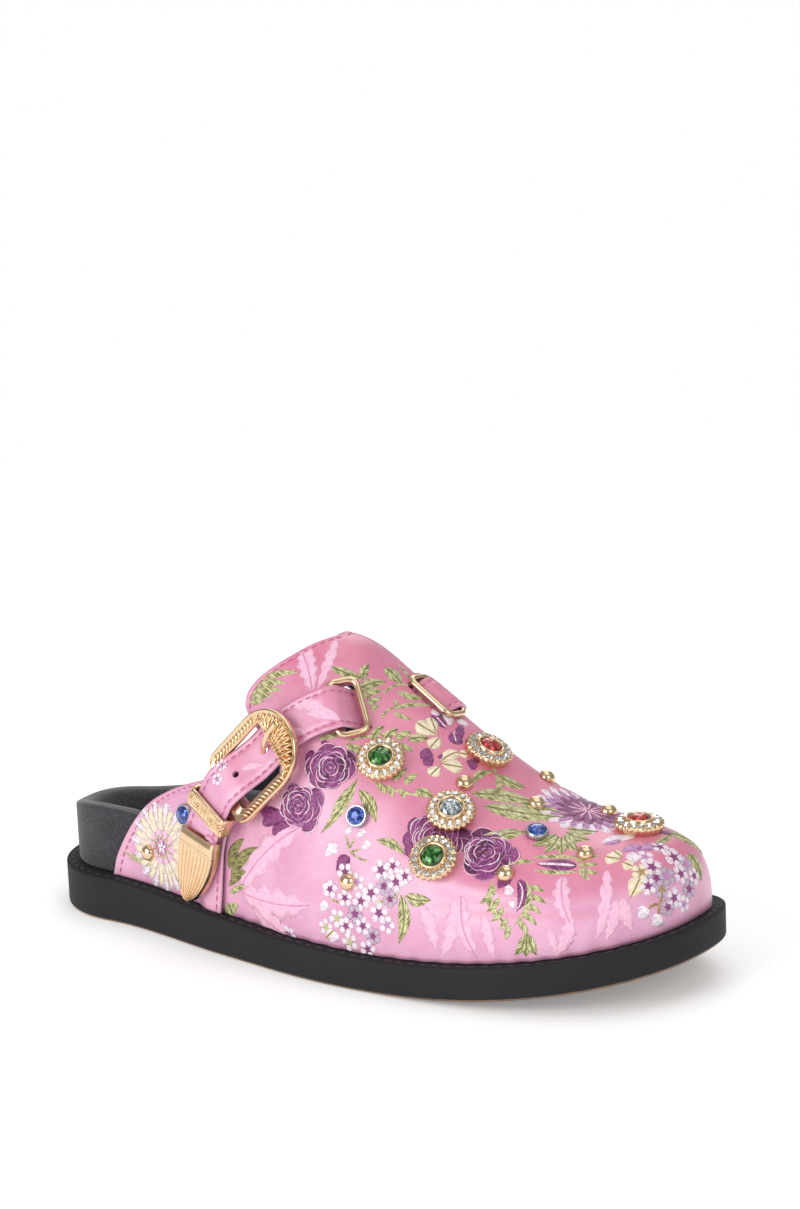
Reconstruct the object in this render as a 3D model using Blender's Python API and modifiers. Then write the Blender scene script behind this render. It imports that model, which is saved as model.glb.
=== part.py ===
"""Buckled clog with a horseshoe buckle, the right shoe of a pair, standing on its sole.

Shapes are worked out in millimetres: station runs from the heel to the toe, y towards the
medial side and z up from the ground. The parts are placed in metres, +X to the toe.
"""
import math

import bmesh
import bpy
import numpy as np
from mathutils import Matrix, Vector

# Driving dimensions in millimetres
MILLIMETRE = 0.001
SOLE_LENGTH = 262.0
SEAM_GAP = 0.3

HEEL_THICKNESS = 16.5
FORE_THICKNESS = 12.0
THINNING_START = 20.0
THINNING_END = 160.0
TOE_SPRING = 13.8
SPRING_START = 152.0
HEEL_ARC = 34.0
TIP_OFFSET = 5.0
LATERAL_TOE_POWER = 2.35
MEDIAL_TOE_POWER = 2.44

# Sole outline: station, half width to the lateral and to the medial side
LATERAL_OUTLINE = [(34, 32.3), (95, 43.5), (140, 50.5), (168, 51.0)]
MEDIAL_OUTLINE = [(34, 32.5), (95, 34.5), (150, 43.0), (192, 47.2)]

# Last spine: station, height, y, power of the cross section's super-ellipse
SPINE = [
    (30, 113.0, 2.0, 2.00),
    (80, 112.0, 2.5, 2.00),
    (110, 108.6, 3.0, 2.00),
    (125, 106.0, 3.5, 2.00),
    (145, 91.6, 4.0, 2.05),
    (170, 75.8, 5.0, 2.15),
    (195, 59.8, 6.0, 2.35),
    (215, 53.0, 6.5, 2.60),
    (234, 50.2, 7.0, 2.90),
]
# The medial side is fuller at the shoulder of the collar: added power, and where it fades
MEDIAL_SHOULDER = 0.45
SHOULDER_START = 145.0
SHOULDER_END = 172.0
FEATHER_INSET = 4.5
FAN_STATION = 234.0
FAN_SOFTNESS = 14.0

# Vamp: height fraction of each section line, its rear station on the lateral and medial side
VAMP_WALL = 2.0
VAMP_COLUMNS = 24
VAMP_SECTIONS = [
    (0.000, 86.5, 86.5),
    (0.090, 87.0, 87.0),
    (0.170, 88.0, 88.0),
    (0.230, 92.0, 90.0),
    (0.280, 104.0, 101.0),
    (0.330, 113.0, 110.0),
    (0.385, 116.5, 114.0),
    (0.435, 113.5, 111.5),
    (0.485, 103.0, 102.5),
    (0.530, 96.8, 97.5),
    (0.570, 95.8, 96.5),
    (0.630, 98.2, 98.5),
    (0.700, 103.2, 103.2),
    (0.780, 108.8, 105.8),
    (0.860, 113.2, 110.4),
    (0.930, 116.6, 115.2),
    (1.000, 118.5, 118.5),
]

# Quarters: rear station, rear height, front station, front height of each section line
QUARTER_WALL = 1.8
QUARTER_COLUMNS = 18
OVERLAP_START = 78.0
OVERLAP_END = 86.0
LATERAL_QUARTER = [
    (35.0, 0.000, 92.5, 0.000),
    (37.5, 0.055, 93.5, 0.050),
    (44.3, 0.134, 94.3, 0.106),
    (53.0, 0.200, 94.8, 0.150),
    (64.5, 0.251, 96.5, 0.195),
    (75.0, 0.285, 101.0, 0.235),
    (83.0, 0.310, 106.0, 0.255),
    (90.0, 0.350, 110.0, 0.268),
]
MEDIAL_QUARTER = [
    (48.0, 0.000, 92.5, 0.000),
    (51.0, 0.055, 93.5, 0.050),
    (57.0, 0.110, 94.3, 0.100),
    (64.0, 0.160, 94.8, 0.150),
    (72.0, 0.205, 97.0, 0.200),
    (80.0, 0.250, 101.0, 0.240),
    (88.0, 0.290, 105.0, 0.275),
    (93.0, 0.330, 107.0, 0.300),
]

# Footbed: station, height of the rim over the rand on the lateral and medial side, height of the floor
FOOTBED_RIM = [
    (0, 19.0, 19.0, 6.0),
    (12, 22.6, 17.4, 5.6),
    (35, 24.0, 19.6, 5.0),
    (65, 21.0, 22.5, 6.0),
    (85, 17.0, 24.0, 8.0),
    (115, 12.0, 17.0, 7.0),
    (150, 8.5, 9.5, 5.0),
    (200, 6.0, 6.0, 4.0),
    (262, 5.5, 5.5, 4.0),
]
FOOTBED_HEEL_INSET = 4.8
FOOTBED_INSET = 6.8
INSET_BLEND_START = 8.0
INSET_BLEND_END = 32.0
RIM_LEAN = 0.09
RIM_ROUND = 1.0
RIM_WIDTH = 4.5

# Strap: turn over the foot from the lateral feather -1 to the medial feather 1, station, lift of its middle
STRAP_WIDTH = 16.4
STRAP_THICKNESS = 1.8
STRAP_SEGMENTS = 72
STRAP_ROUTE = [
    (-0.812, 87.4, 5.2),
    (-0.752, 92.2, 6.0),
    (-0.726, 94.4, 6.8),
    (-0.690, 97.7, 7.4),
    (-0.660, 101.0, 6.2),
    (-0.630, 104.2, 4.0),
    (-0.600, 107.4, 2.3),
    (-0.565, 110.8, 1.6),
    (-0.535, 113.7, 1.7),
    (-0.500, 117.3, 1.9),
    (-0.446, 123.8, 2.4),
    (-0.410, 128.0, 3.4),
    (-0.376, 131.5, 4.6),
    (-0.345, 133.8, 3.8),
    (-0.315, 136.0, 0.8),
    (-0.285, 138.0, -2.0),
    (-0.255, 139.8, -3.5),
    (-0.210, 143.0, -4.0),
    (-0.130, 148.4, -4.0),
    (-0.070, 151.2, -4.0),
    (-0.032, 152.0, -3.9),
    (0.013, 152.4, -2.2),
    (0.056, 152.5, 0.8),
    (0.100, 152.4, 3.8),
    (0.145, 152.0, 4.7),
    (0.180, 151.5, 4.2),
    (0.220, 150.7, 2.6),
    (0.270, 149.0, 1.9),
    (0.340, 145.5, 2.0),
    (0.450, 137.5, 2.9),
    (0.530, 128.0, 3.0),
    (0.600, 118.5, 3.3),
    (0.690, 105.5, 3.4),
    (0.760, 97.0, 3.4),
]
# Slots of the vamp and the rings over them: turn, station
LATERAL_SLOT = (-0.290, 137.7)
MEDIAL_SLOT = (0.049, 152.3)
SLOT_LENGTH = 19.0
SLOT_WIDTH = 9.0
SLOT_DEPTH = 9.0

# Hardware: the buckle's curved end and its bar by station, height fraction and lift
LATERAL_RING = (-0.312, 136.3)
MEDIAL_RING = (0.080, 152.4)
RING_LIFT = 1.4
RING_ACROSS = 20.2
RING_ALONG = 10.6
RING_CORNER = 3.2
WIRE_DIAMETER = 2.2
BUCKLE_TOP = (121.8, 0.508, 6.9)
BUCKLE_BAR = (98.1, 0.305, 4.3)
BUCKLE_WIDTH = 25.2
BUCKLE_BAR_WIDTH = 24.6
BUCKLE_CORNER = 2.5
FRAME_WIDTH = 4.4
FRAME_FLATTEN = 0.66
KEEPER_TURN = -0.752
KEEPER_BAND = 7.0
KEEPER_WALL = 1.4
KEEPER_PLAY = 0.9
KEEPER_CORNER = 1.2
PRONG_DIAMETER = 1.9
PRONG_HOLE = 4.4
HOLE_DEPTH = 5.4
PRONG_HOLE_TURN = -0.563
# Prong: turn over the foot, lift of its middle
PRONG_ROUTE = [
    (-0.673, 3.9),
    (-0.648, 2.7),
    (-0.620, 0.9),
    (-0.600, 0.0),
    (-0.575, -0.5),
    (-0.563, 1.6),
    (-0.554, 4.2),
    (-0.530, 7.6),
    (-0.487, 10.0),
]
# Strap tip: part of its length from the strap's end, half width
TIP_LENGTH = 26.0
TIP_THICKNESS = 3.4
TIP_ROUND = 0.5
TIP_OUTLINE = [(0.00, 8.4), (0.25, 8.6), (0.50, 7.9), (0.72, 6.1), (0.90, 3.2), (0.97, 1.4)]

# Trim: side of the foot (-1 lateral, 1 medial), station, height fraction
SEAT_GAP = 0.45
BROOCHES = [
    (-1, 153.8, 0.612, "green"),
    (-1, 182.0, 0.608, "clear"),
    (-1, 182.8, 0.390, "green"),
    (-1, 177.2, 0.990, "red"),
    (1, 252.1, 0.962, "red"),
]
STONES = [
    (-1, 151.5, 0.398),
    (-1, 210.5, 0.765),
    (-1, 73.5, 0.204),
]
STUDS = [
    (-1, 180.0, 0.775),
    (-1, 200.8, 0.940),
    (1, 190.8, 0.780),
    (1, 220.2, 0.862),
    (-1, 233.5, 0.702),
    (-1, 208.5, 0.452),
    (-1, 151.2, 0.195),
    (-1, 53.5, 0.079),
]
# Turned profiles: radius, height, from the top down the outer side
BROOCH_PROFILE = [
    (0.0, 2.6), (4.3, 2.6), (4.5, 4.2), (5.2, 4.2), (5.6, 2.9),
    (7.9, 2.8), (8.5, 1.6), (7.7, 0.0), (0.0, 0.0),
]
GEM_PROFILE = [(0.0, 5.3), (2.4, 5.1), (4.0, 4.0), (4.0, 2.9), (0.0, 2.9)]
BEZEL_PROFILE = [(0.0, 0.9), (3.3, 0.9), (3.4, 1.7), (3.75, 1.6), (3.95, 0.8), (3.75, 0.0), (0.0, 0.0)]
STONE_PROFILE = [(0.0, 2.7), (1.7, 2.5), (3.05, 1.7), (3.05, 1.2), (0.0, 1.2)]
STUD_PROFILE = [(0.0, 2.5), (1.4, 2.2), (2.5, 1.35), (3.0, 0.0), (0.0, 0.0)]
BROOCH_STEPS = 18
GEM_STEPS = 12
STUD_STEPS = 12
HOLE_STEPS = 12
BUCKLE_STEPS = 12
WIRE_STEPS = 2

CENTRE_STATION = SOLE_LENGTH / 2
CENTRE_Y = -1.9
CORE_HEIGHT = 40.0
LATERAL = -1
MEDIAL = 1
WELD_DISTANCE = 1e-6
MERGE_DISTANCE = 5e-5
SMALL_STEP = 1e-3
SMALL_ANGLE = 1e-4
SMOOTH_ANGLE = math.radians(40)


# Helpers for curves through tables


def smooth_step(start, end, value):
    """0 before start, 1 after end, with a soft change between."""
    part = min(max((value - start) / (end - start), 0.0), 1.0)
    return part * part * (3 - 2 * part)


def table_curve(rows, column, flat_ends=False):
    """Smooth curve through one column of a table, read at the values of its first column."""
    places = np.array([row[0] for row in rows], float)
    values = np.array([row[column] for row in rows], float)
    slopes = np.gradient(values, places)
    if flat_ends:
        slopes[0] = 0.0
        slopes[-1] = 0.0

    def read(place):
        place = min(max(place, places[0]), places[-1])
        index = min(max(int(np.searchsorted(places, place)) - 1, 0), len(places) - 2)
        step = places[index + 1] - places[index]
        part = (place - places[index]) / step
        rise = 3 * part**2 - 2 * part**3
        start_bend = part**3 - 2 * part**2 + part
        end_bend = part**3 - part**2
        level = values[index] + (values[index + 1] - values[index]) * rise
        return float(level + step * (start_bend * slopes[index] + end_bend * slopes[index + 1]))

    return read


half_widths = {
    LATERAL: table_curve(LATERAL_OUTLINE, 1, flat_ends=True),
    MEDIAL: table_curve(MEDIAL_OUTLINE, 1, flat_ends=True),
}
spine_height = table_curve(SPINE, 1)
spine_y = table_curve(SPINE, 2)
spine_power = table_curve(SPINE, 3)
rim_heights = {LATERAL: table_curve(FOOTBED_RIM, 1), MEDIAL: table_curve(FOOTBED_RIM, 2)}
floor_height = table_curve(FOOTBED_RIM, 3)


# Shape of the sole and of the last


def sole_edge(side, station):
    """y of the sole's edge at a station."""
    rows = LATERAL_OUTLINE if side == LATERAL else MEDIAL_OUTLINE
    power = LATERAL_TOE_POWER if side == LATERAL else MEDIAL_TOE_POWER
    toe_start, toe_width = rows[-1]
    if station < HEEL_ARC:
        drop = (HEEL_ARC - station) / HEEL_ARC
        return side * rows[0][1] * math.sqrt(max(1 - drop**2, 0.0))
    if station <= toe_start:
        return side * half_widths[side](station)
    part = min((station - toe_start) / (SOLE_LENGTH - toe_start), 1.0)
    tip = side * TIP_OFFSET
    return side * (tip + (toe_width - tip) * (1 - part**power) ** (1 / power))


def angle_of(station):
    """Angle whose cosine places a station, 0 at the heel and pi at the toe."""
    return math.acos(min(max(1 - 2 * station / SOLE_LENGTH, -1.0), 1.0))


def station_at(angle):
    return CENTRE_STATION * (1 - math.cos(angle))


def edge_point(side, station, inset):
    """Station and y of the sole's edge moved inwards by inset."""
    angle = angle_of(station)
    before = station_at(max(angle - SMALL_ANGLE, 0.0))
    after = station_at(min(angle + SMALL_ANGLE, math.pi))
    run = Vector((after - before, sole_edge(side, after) - sole_edge(side, before))).normalized()
    outward = Vector((-run.y, run.x)) * side
    if station <= 0:
        outward = Vector((-1, 0))
    if station >= SOLE_LENGTH:
        outward = Vector((1, 0))
    return Vector((station, sole_edge(side, station))) - outward * inset


def bottom_height(station):
    part = max(station - SPRING_START, 0.0) / (SOLE_LENGTH - SPRING_START)
    return TOE_SPRING * part**2


def rand_height(station):
    """Height of the sole's top face."""
    thinning = smooth_step(THINNING_START, THINNING_END, station)
    return bottom_height(station) + HEEL_THICKNESS + (FORE_THICKNESS - HEEL_THICKNESS) * thinning


def fan_station(station):
    """Spine station of a section: it follows the outline, then settles over the toe."""
    near = math.exp(-station / FAN_SOFTNESS)
    far = math.exp(-FAN_STATION / FAN_SOFTNESS)
    return -FAN_SOFTNESS * math.log(near + far)


def last_point(side, station, height):
    """Point of the last: a super-ellipse from the feather line (height 0) to the spine (height 1)."""
    feather = edge_point(side, station, FEATHER_INSET)
    top_station = fan_station(station)
    power = spine_power(top_station)
    if side == MEDIAL:
        power += MEDIAL_SHOULDER * (1 - smooth_step(SHOULDER_START, SHOULDER_END, top_station))
    base = rand_height(feather.x) + SEAM_GAP
    angle = height * math.pi / 2
    inward = 1 - max(math.cos(angle), 0.0) ** (2 / power)
    upward = max(math.sin(angle), 0.0) ** (2 / power)
    return Vector((
        feather.x + (top_station - feather.x) * inward,
        feather.y + (spine_y(top_station) - feather.y) * inward,
        base + (spine_height(top_station) - base) * upward,
    ))


def last_normal(side, station, height):
    """Outward direction of the last."""
    angle = angle_of(station)
    after = last_point(side, station_at(min(angle + SMALL_STEP, math.pi)), height)
    before = last_point(side, station_at(max(angle - SMALL_STEP, 0.0)), height)
    above = last_point(side, station, min(height + SMALL_STEP, 1.0))
    below = last_point(side, station, max(height - SMALL_STEP, 0.0))
    normal = (after - before).cross(above - below).normalized()
    return normal if side == LATERAL else -normal


def lifted_point(side, station, height, lift):
    return last_point(side, station, height) + last_normal(side, station, height) * lift


def over_foot(turn, station, lift):
    """Point over the foot; turn runs from the lateral feather, -1, over the spine, 0, to the medial, 1."""
    side = LATERAL if turn <= 0 else MEDIAL
    return lifted_point(side, station, 1 - abs(turn), lift)


def to_world(point):
    return Vector((point.x - CENTRE_STATION, point.y - CENTRE_Y, point.z)) * MILLIMETRE


# Objects, materials and modifiers


for old_object in list(bpy.data.objects):
    bpy.data.objects.remove(old_object, do_unlink=True)

part_collection = bpy.data.collections.new("clog")
cutter_collection = bpy.data.collections.new("clog_cutters")
bpy.context.scene.collection.children.link(part_collection)
bpy.context.scene.collection.children.link(cutter_collection)


def make_material(name, colour, roughness, metallic=0.0):
    material = bpy.data.materials.new(name)
    material.use_nodes = True
    shader = material.node_tree.nodes["Principled BSDF"]
    shader.inputs["Base Color"].default_value = (*colour, 1.0)
    shader.inputs["Roughness"].default_value = roughness
    shader.inputs["Metallic"].default_value = metallic
    return material


RUBBER = make_material("dark_rubber", (0.045, 0.043, 0.050), 0.62)
SUEDE = make_material("black_suede", (0.012, 0.012, 0.013), 0.95)
BROCADE = make_material("pink_brocade", (0.760, 0.260, 0.480), 0.45)
GOLD = make_material("gold_metal", (0.830, 0.610, 0.310), 0.25, 1.0)
SILVER = make_material("silver_metal", (0.650, 0.660, 0.680), 0.25, 1.0)
GEM_MATERIALS = {
    "green": make_material("green_glass", (0.020, 0.300, 0.030), 0.08),
    "clear": make_material("clear_glass", (0.800, 0.800, 0.820), 0.08),
    "red": make_material("red_glass", (0.450, 0.010, 0.030), 0.08),
    "blue": make_material("blue_glass", (0.020, 0.100, 0.380), 0.08),
}


def add_object(name, data, material):
    new_object = bpy.data.objects.new(name, data)
    data.materials.append(material)
    part_collection.objects.link(new_object)
    return new_object


def finish_mesh(name, form, material):
    """Object from a bmesh, shaded smooth with its hard edges kept."""
    mesh = bpy.data.meshes.new(name)
    form.to_mesh(mesh)
    form.free()
    mesh.shade_smooth()
    mesh.set_sharp_from_angle(angle=SMOOTH_ANGLE)
    return add_object(name, mesh, material)


def add_grid(form, columns, rows, place):
    """Grid moved onto a surface; place takes the column and the row, both from 0 to 1."""
    made = bmesh.ops.create_grid(form, x_segments=columns, y_segments=rows, size=0.5)
    for vertex in made["verts"]:
        vertex.co = to_world(place(vertex.co.x + 0.5, vertex.co.y + 0.5))


def weld(form):
    bmesh.ops.remove_doubles(form, verts=form.verts, dist=WELD_DISTANCE)


def face_outwards(form):
    """Turn an open surface's faces away from the inside of the foot."""
    core = to_world(Vector((CENTRE_STATION, 0.0, CORE_HEIGHT)))
    bmesh.ops.recalc_face_normals(form, faces=form.faces)
    score = sum((face.calc_center_median() - core).dot(face.normal) * face.calc_area() for face in form.faces)
    if score < 0:
        bmesh.ops.reverse_faces(form, faces=form.faces)


def add_wall(target, thickness, offset):
    """Give a surface its thickness: offset -1 puts it inside the surface, 0 on both sides."""
    wall = target.modifiers.new("wall", "SOLIDIFY")
    wall.thickness = thickness * MILLIMETRE
    wall.offset = offset


def add_cut(target, cutter):
    cut = target.modifiers.new("cut_" + cutter.name, "BOOLEAN")
    cut.operation = "DIFFERENCE"
    cut.solver = "EXACT"
    cut.object = cutter


def add_cutter(name, form, matrix):
    mesh = bpy.data.meshes.new(name)
    form.to_mesh(mesh)
    form.free()
    cutter = bpy.data.objects.new(name, mesh)
    cutter.matrix_world = matrix
    cutter.hide_render = True
    cutter.display_type = "WIRE"
    cutter_collection.objects.link(cutter)
    return cutter


def frame_matrix(across, along, up, origin):
    """World matrix whose local axes are the three given directions, in millimetre space."""
    matrix = Matrix((across, along, up)).transposed().to_4x4()
    matrix.translation = to_world(origin)
    return matrix


# Outsole and footbed: rings of the sole outline joined across a centre line

RING_COLUMNS = 44
CENTRE_HEEL = 40.0
CENTRE_TOE = 214.0


def centre_point(station):
    """Point of the centre line that a station's section runs to."""
    place = min(max(station, CENTRE_HEEL), CENTRE_TOE)
    return Vector((place, (sole_edge(LATERAL, place) + sole_edge(MEDIAL, place)) / 2))


def ringed_solid(name, rows, material):
    """Closed solid from section rows; a row takes side and station and gives a point."""
    form = bmesh.new()
    last_row = len(rows) - 1
    for side in (LATERAL, MEDIAL):

        def place(column, row, side=side):
            return rows[round(row * last_row)](side, station_at(column * math.pi))

        add_grid(form, RING_COLUMNS, last_row, place)
    weld(form)
    bmesh.ops.recalc_face_normals(form, faces=form.faces)
    return finish_mesh(name, form, material)


SOLE_ROUND = 2.2
SOLE_ROUND_MIDDLE = 0.65
RAND_ROUND = 0.8
TREAD_BORDER = 16.0


def sole_row(inset, level, rise):
    """Row of the outsole: inset from the edge (None for the centre), bottom or top face, rise from it."""

    def point(side, station):
        flat = centre_point(station) if inset is None else edge_point(side, station, inset)
        base = bottom_height(flat.x) if level == "bottom" else rand_height(flat.x)
        return Vector((flat.x, flat.y, base + rise))

    return point


ringed_solid("outsole", [
    sole_row(None, "bottom", 0.0),
    sole_row(TREAD_BORDER, "bottom", 0.0),
    sole_row(SOLE_ROUND, "bottom", 0.0),
    sole_row(SOLE_ROUND_MIDDLE, "bottom", SOLE_ROUND_MIDDLE),
    sole_row(0.0, "bottom", SOLE_ROUND),
    sole_row(0.0, "top", -RAND_ROUND),
    sole_row(RAND_ROUND, "top", 0.0),
    sole_row(FOOTBED_INSET, "top", 0.0),
    sole_row(None, "top", 0.0),
], RUBBER)


def footbed_row(depth, cup_part):
    """Row of the footbed: depth in from its wall, part of the way from floor to rim (None: underside)."""

    def point(side, station):
        blend = smooth_step(INSET_BLEND_START, INSET_BLEND_END, station)
        wall_inset = FOOTBED_HEEL_INSET + (FOOTBED_INSET - FOOTBED_HEEL_INSET) * blend
        rim = rim_heights[side](station)
        floor = floor_height(station)
        if cup_part is None:
            rise = SEAM_GAP
            lean = 0.0
        else:
            rise = floor + (rim - floor) * cup_part
            lean = RIM_LEAN * rim
        if depth is None:
            flat = centre_point(station)
        else:
            flat = edge_point(side, station, wall_inset + lean + depth)
        return Vector((flat.x, flat.y, rand_height(flat.x) + rise))

    return point


CUP_FOOT = 12.0
CUP_MIDDLE = 4.0
CUP_MIDDLE_PART = 0.30
RIM_SHOULDER_PART = 0.93

ringed_solid("footbed", [
    footbed_row(None, None),
    footbed_row(0.0, None),
    footbed_row(0.0, RIM_SHOULDER_PART),
    footbed_row(RIM_ROUND, 1.0),
    footbed_row(RIM_ROUND + RIM_WIDTH, 1.0),
    footbed_row(RIM_ROUND + RIM_WIDTH + CUP_MIDDLE, CUP_MIDDLE_PART),
    footbed_row(RIM_ROUND + RIM_WIDTH + CUP_FOOT, 0.0),
    footbed_row(None, 0.0),
], SUEDE)


# Upper: the vamp with its two slots, and the two quarters stitched over its rear edge


strap_station = table_curve(STRAP_ROUTE, 1)
strap_lift = table_curve(STRAP_ROUTE, 2)


def surface_axes(turn, station):
    """Axes on the last under the strap: across it, along it from the lateral side, and out of the foot."""
    side = LATERAL if turn <= 0 else MEDIAL
    up = last_normal(side, station, 1 - abs(turn))
    after, before = turn + SMALL_STEP, turn - SMALL_STEP
    drift = (strap_station(after) - strap_station(before)) / 2
    along = over_foot(after, station + drift, 0.0) - over_foot(before, station - drift, 0.0)
    along = (along - up * along.dot(up)).normalized()
    return along.cross(up).normalized(), along, up


def build_vamp():
    form = bmesh.new()
    last_row = len(VAMP_SECTIONS) - 1
    for side, edge_column in ((LATERAL, 1), (MEDIAL, 2)):

        def place(column, row, side=side, edge_column=edge_column):
            section = VAMP_SECTIONS[round(row * last_row)]
            rear = section[edge_column]
            station = rear + (SOLE_LENGTH - rear) * math.sin(column * math.pi / 2)
            return last_point(side, station, section[0])

        add_grid(form, VAMP_COLUMNS, last_row, place)
    weld(form)
    face_outwards(form)
    vamp = finish_mesh("upper_vamp", form, BROCADE)
    add_wall(vamp, VAMP_WALL, offset=-1.0)
    for name, (turn, station) in (("slot_lateral", LATERAL_SLOT), ("slot_medial", MEDIAL_SLOT)):
        across, along, up = surface_axes(turn, station)
        origin = over_foot(turn, station, 0.0)
        slot = bmesh.new()
        bmesh.ops.create_cube(slot, size=MILLIMETRE)
        bmesh.ops.scale(slot, vec=(SLOT_LENGTH, SLOT_WIDTH, SLOT_DEPTH), verts=slot.verts)
        add_cut(vamp, add_cutter(name, slot, frame_matrix(across, along, up, origin)))


def quarter_lift(station):
    """Lift of a quarter's outer face: level with the vamp behind, over the vamp's edge in front."""
    return (QUARTER_WALL + SEAM_GAP) * smooth_step(OVERLAP_START, OVERLAP_END, station)


def build_quarter(name, side, rows):
    form = bmesh.new()
    last_row = len(rows) - 1

    def place(column, row):
        rear, rear_height, front, front_height = rows[round(row * last_row)]
        station = rear + (front - rear) * column
        height = rear_height + (front_height - rear_height) * column
        return lifted_point(side, station, height, quarter_lift(station))

    add_grid(form, QUARTER_COLUMNS, last_row, place)
    face_outwards(form)
    add_wall(finish_mesh(name, form, BROCADE), QUARTER_WALL, offset=-1.0)


build_vamp()
build_quarter("upper_quarter_lateral", LATERAL, LATERAL_QUARTER)
build_quarter("upper_quarter_medial", MEDIAL, MEDIAL_QUARTER)


# Strap with its hole for the prong


def strap_point(turn):
    return over_foot(turn, strap_station(turn), strap_lift(turn))


def strap_axes(turn):
    """Axes of the strap itself: across, along and out of the foot."""
    along = (strap_point(turn + SMALL_STEP) - strap_point(turn - SMALL_STEP)).normalized()
    surface_up = surface_axes(turn, strap_station(turn))[2]
    across = along.cross(surface_up).normalized()
    return across, along, across.cross(along).normalized()


def build_strap():
    first_turn = STRAP_ROUTE[0][0]
    last_turn = STRAP_ROUTE[-1][0]
    form = bmesh.new()

    def place(column, row):
        turn = first_turn + (last_turn - first_turn) * column
        return strap_point(turn) + strap_axes(turn)[0] * STRAP_WIDTH * (row - 0.5)

    add_grid(form, STRAP_SEGMENTS, 1, place)
    bmesh.ops.recalc_face_normals(form, faces=form.faces)
    strap = finish_mesh("strap", form, BROCADE)
    add_wall(strap, STRAP_THICKNESS, offset=0.0)
    across, along, up = strap_axes(PRONG_HOLE_TURN)
    hole = bmesh.new()
    bmesh.ops.create_cone(
        hole, cap_ends=True, segments=HOLE_STEPS, radius1=PRONG_HOLE * MILLIMETRE / 2,
        radius2=PRONG_HOLE * MILLIMETRE / 2, depth=HOLE_DEPTH * MILLIMETRE)
    matrix = frame_matrix(across, along, up, strap_point(PRONG_HOLE_TURN))
    add_cut(strap, add_cutter("prong_hole", hole, matrix))


build_strap()


# Metal pieces of the strap: rings, buckle, prong, keeper and tip


def rounded_rectangle(width, length, corner, steps=4):
    """Outline points of a rectangle with round corners, centred on the origin."""
    points = []
    for turn, (sign_x, sign_y) in enumerate(((1, 1), (-1, 1), (-1, -1), (1, -1))):
        centre = Vector((sign_x * (width / 2 - corner), sign_y * (length / 2 - corner), 0.0))
        for step in range(steps + 1):
            angle = (turn + step / steps) * math.pi / 2
            points.append(centre + Vector((math.cos(angle), math.sin(angle), 0.0)) * corner)
    return points


def curve_object(name, outlines, matrix, dimensions, cyclic=True):
    """Curve of straight segments through points in millimetres, placed by a matrix."""
    curve = bpy.data.curves.new(name, "CURVE")
    curve.dimensions = dimensions
    for outline in outlines:
        spline = curve.splines.new("POLY")
        spline.points.add(len(outline) - 1)
        for spline_point, place in zip(spline.points, outline):
            spline_point.co = (*(place * MILLIMETRE), 1.0)
        spline.use_cyclic_u = cyclic
    made = add_object(name, curve, GOLD)
    made.matrix_world = matrix
    return made


def make_wire(curve, diameter):
    curve.bevel_depth = diameter * MILLIMETRE / 2
    curve.bevel_resolution = WIRE_STEPS
    curve.use_fill_caps = True


def build_ring(name, turn, station):
    across, along, up = surface_axes(turn, station)
    matrix = frame_matrix(across, along, up, over_foot(turn, station, RING_LIFT))
    ring = curve_object(name, [rounded_rectangle(RING_ACROSS, RING_ALONG, RING_CORNER)], matrix, "3D")
    make_wire(ring.data, WIRE_DIAMETER)


def horseshoe(length):
    """Centre line of the buckle: a round end, two arms drawn in a little, and the bar at the origin."""
    radius = BUCKLE_WIDTH / 2
    arm = BUCKLE_BAR_WIDTH / 2
    points = []
    for step in range(BUCKLE_STEPS + 1):
        angle = step / BUCKLE_STEPS * math.pi
        points.append(Vector((radius * math.cos(angle), length - radius + radius * math.sin(angle), 0.0)))
    for sign in (-1, 1):
        corner = [Vector((sign * arm, BUCKLE_CORNER, 0.0)), Vector((sign * (arm - BUCKLE_CORNER), 0.0, 0.0))]
        points += corner if sign < 0 else corner[::-1]
    return points


def build_buckle():
    top = lifted_point(LATERAL, *BUCKLE_TOP)
    bar = lifted_point(LATERAL, *BUCKLE_BAR)
    along = (top - bar).normalized()
    rough_up = last_normal(LATERAL, *BUCKLE_TOP[:2]) + last_normal(LATERAL, *BUCKLE_BAR[:2])
    across = along.cross(rough_up).normalized()
    matrix = frame_matrix(across, along, across.cross(along), bar)
    wire = curve_object("buckle_wire", [horseshoe((top - bar).length)], Matrix.Identity(4), "3D")
    make_wire(wire.data, FRAME_WIDTH)
    evaluated = wire.evaluated_get(bpy.context.evaluated_depsgraph_get())
    mesh = bpy.data.meshes.new_from_object(evaluated)
    bpy.data.objects.remove(wire, do_unlink=True)
    mesh.transform(Matrix.Diagonal((1.0, 1.0, FRAME_FLATTEN, 1.0)))
    mesh.materials.clear()
    mesh.shade_smooth()
    add_object("buckle", mesh, GOLD).matrix_world = matrix


def build_prong():
    places = [over_foot(turn, strap_station(turn), lift) for turn, lift in PRONG_ROUTE]
    origin = places[0]
    route = [place - origin for place in places]
    prong = curve_object("prong", [route], Matrix.Translation(to_world(origin)), "3D", cyclic=False)
    make_wire(prong.data, PRONG_DIAMETER)


def build_keeper():
    across, along, up = strap_axes(KEEPER_TURN)
    inner_width = STRAP_WIDTH + KEEPER_PLAY
    inner_height = STRAP_THICKNESS + KEEPER_PLAY
    wall = 2 * KEEPER_WALL
    outlines = [
        rounded_rectangle(inner_width + wall, inner_height + wall, KEEPER_CORNER + KEEPER_WALL / 2),
        rounded_rectangle(inner_width, inner_height, KEEPER_CORNER / 2),
    ]
    matrix = frame_matrix(across, up, -along, strap_point(KEEPER_TURN))
    keeper = curve_object("keeper", outlines, matrix, "2D")
    keeper.data.fill_mode = "BOTH"
    keeper.data.extrude = KEEPER_BAND * MILLIMETRE / 2


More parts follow.
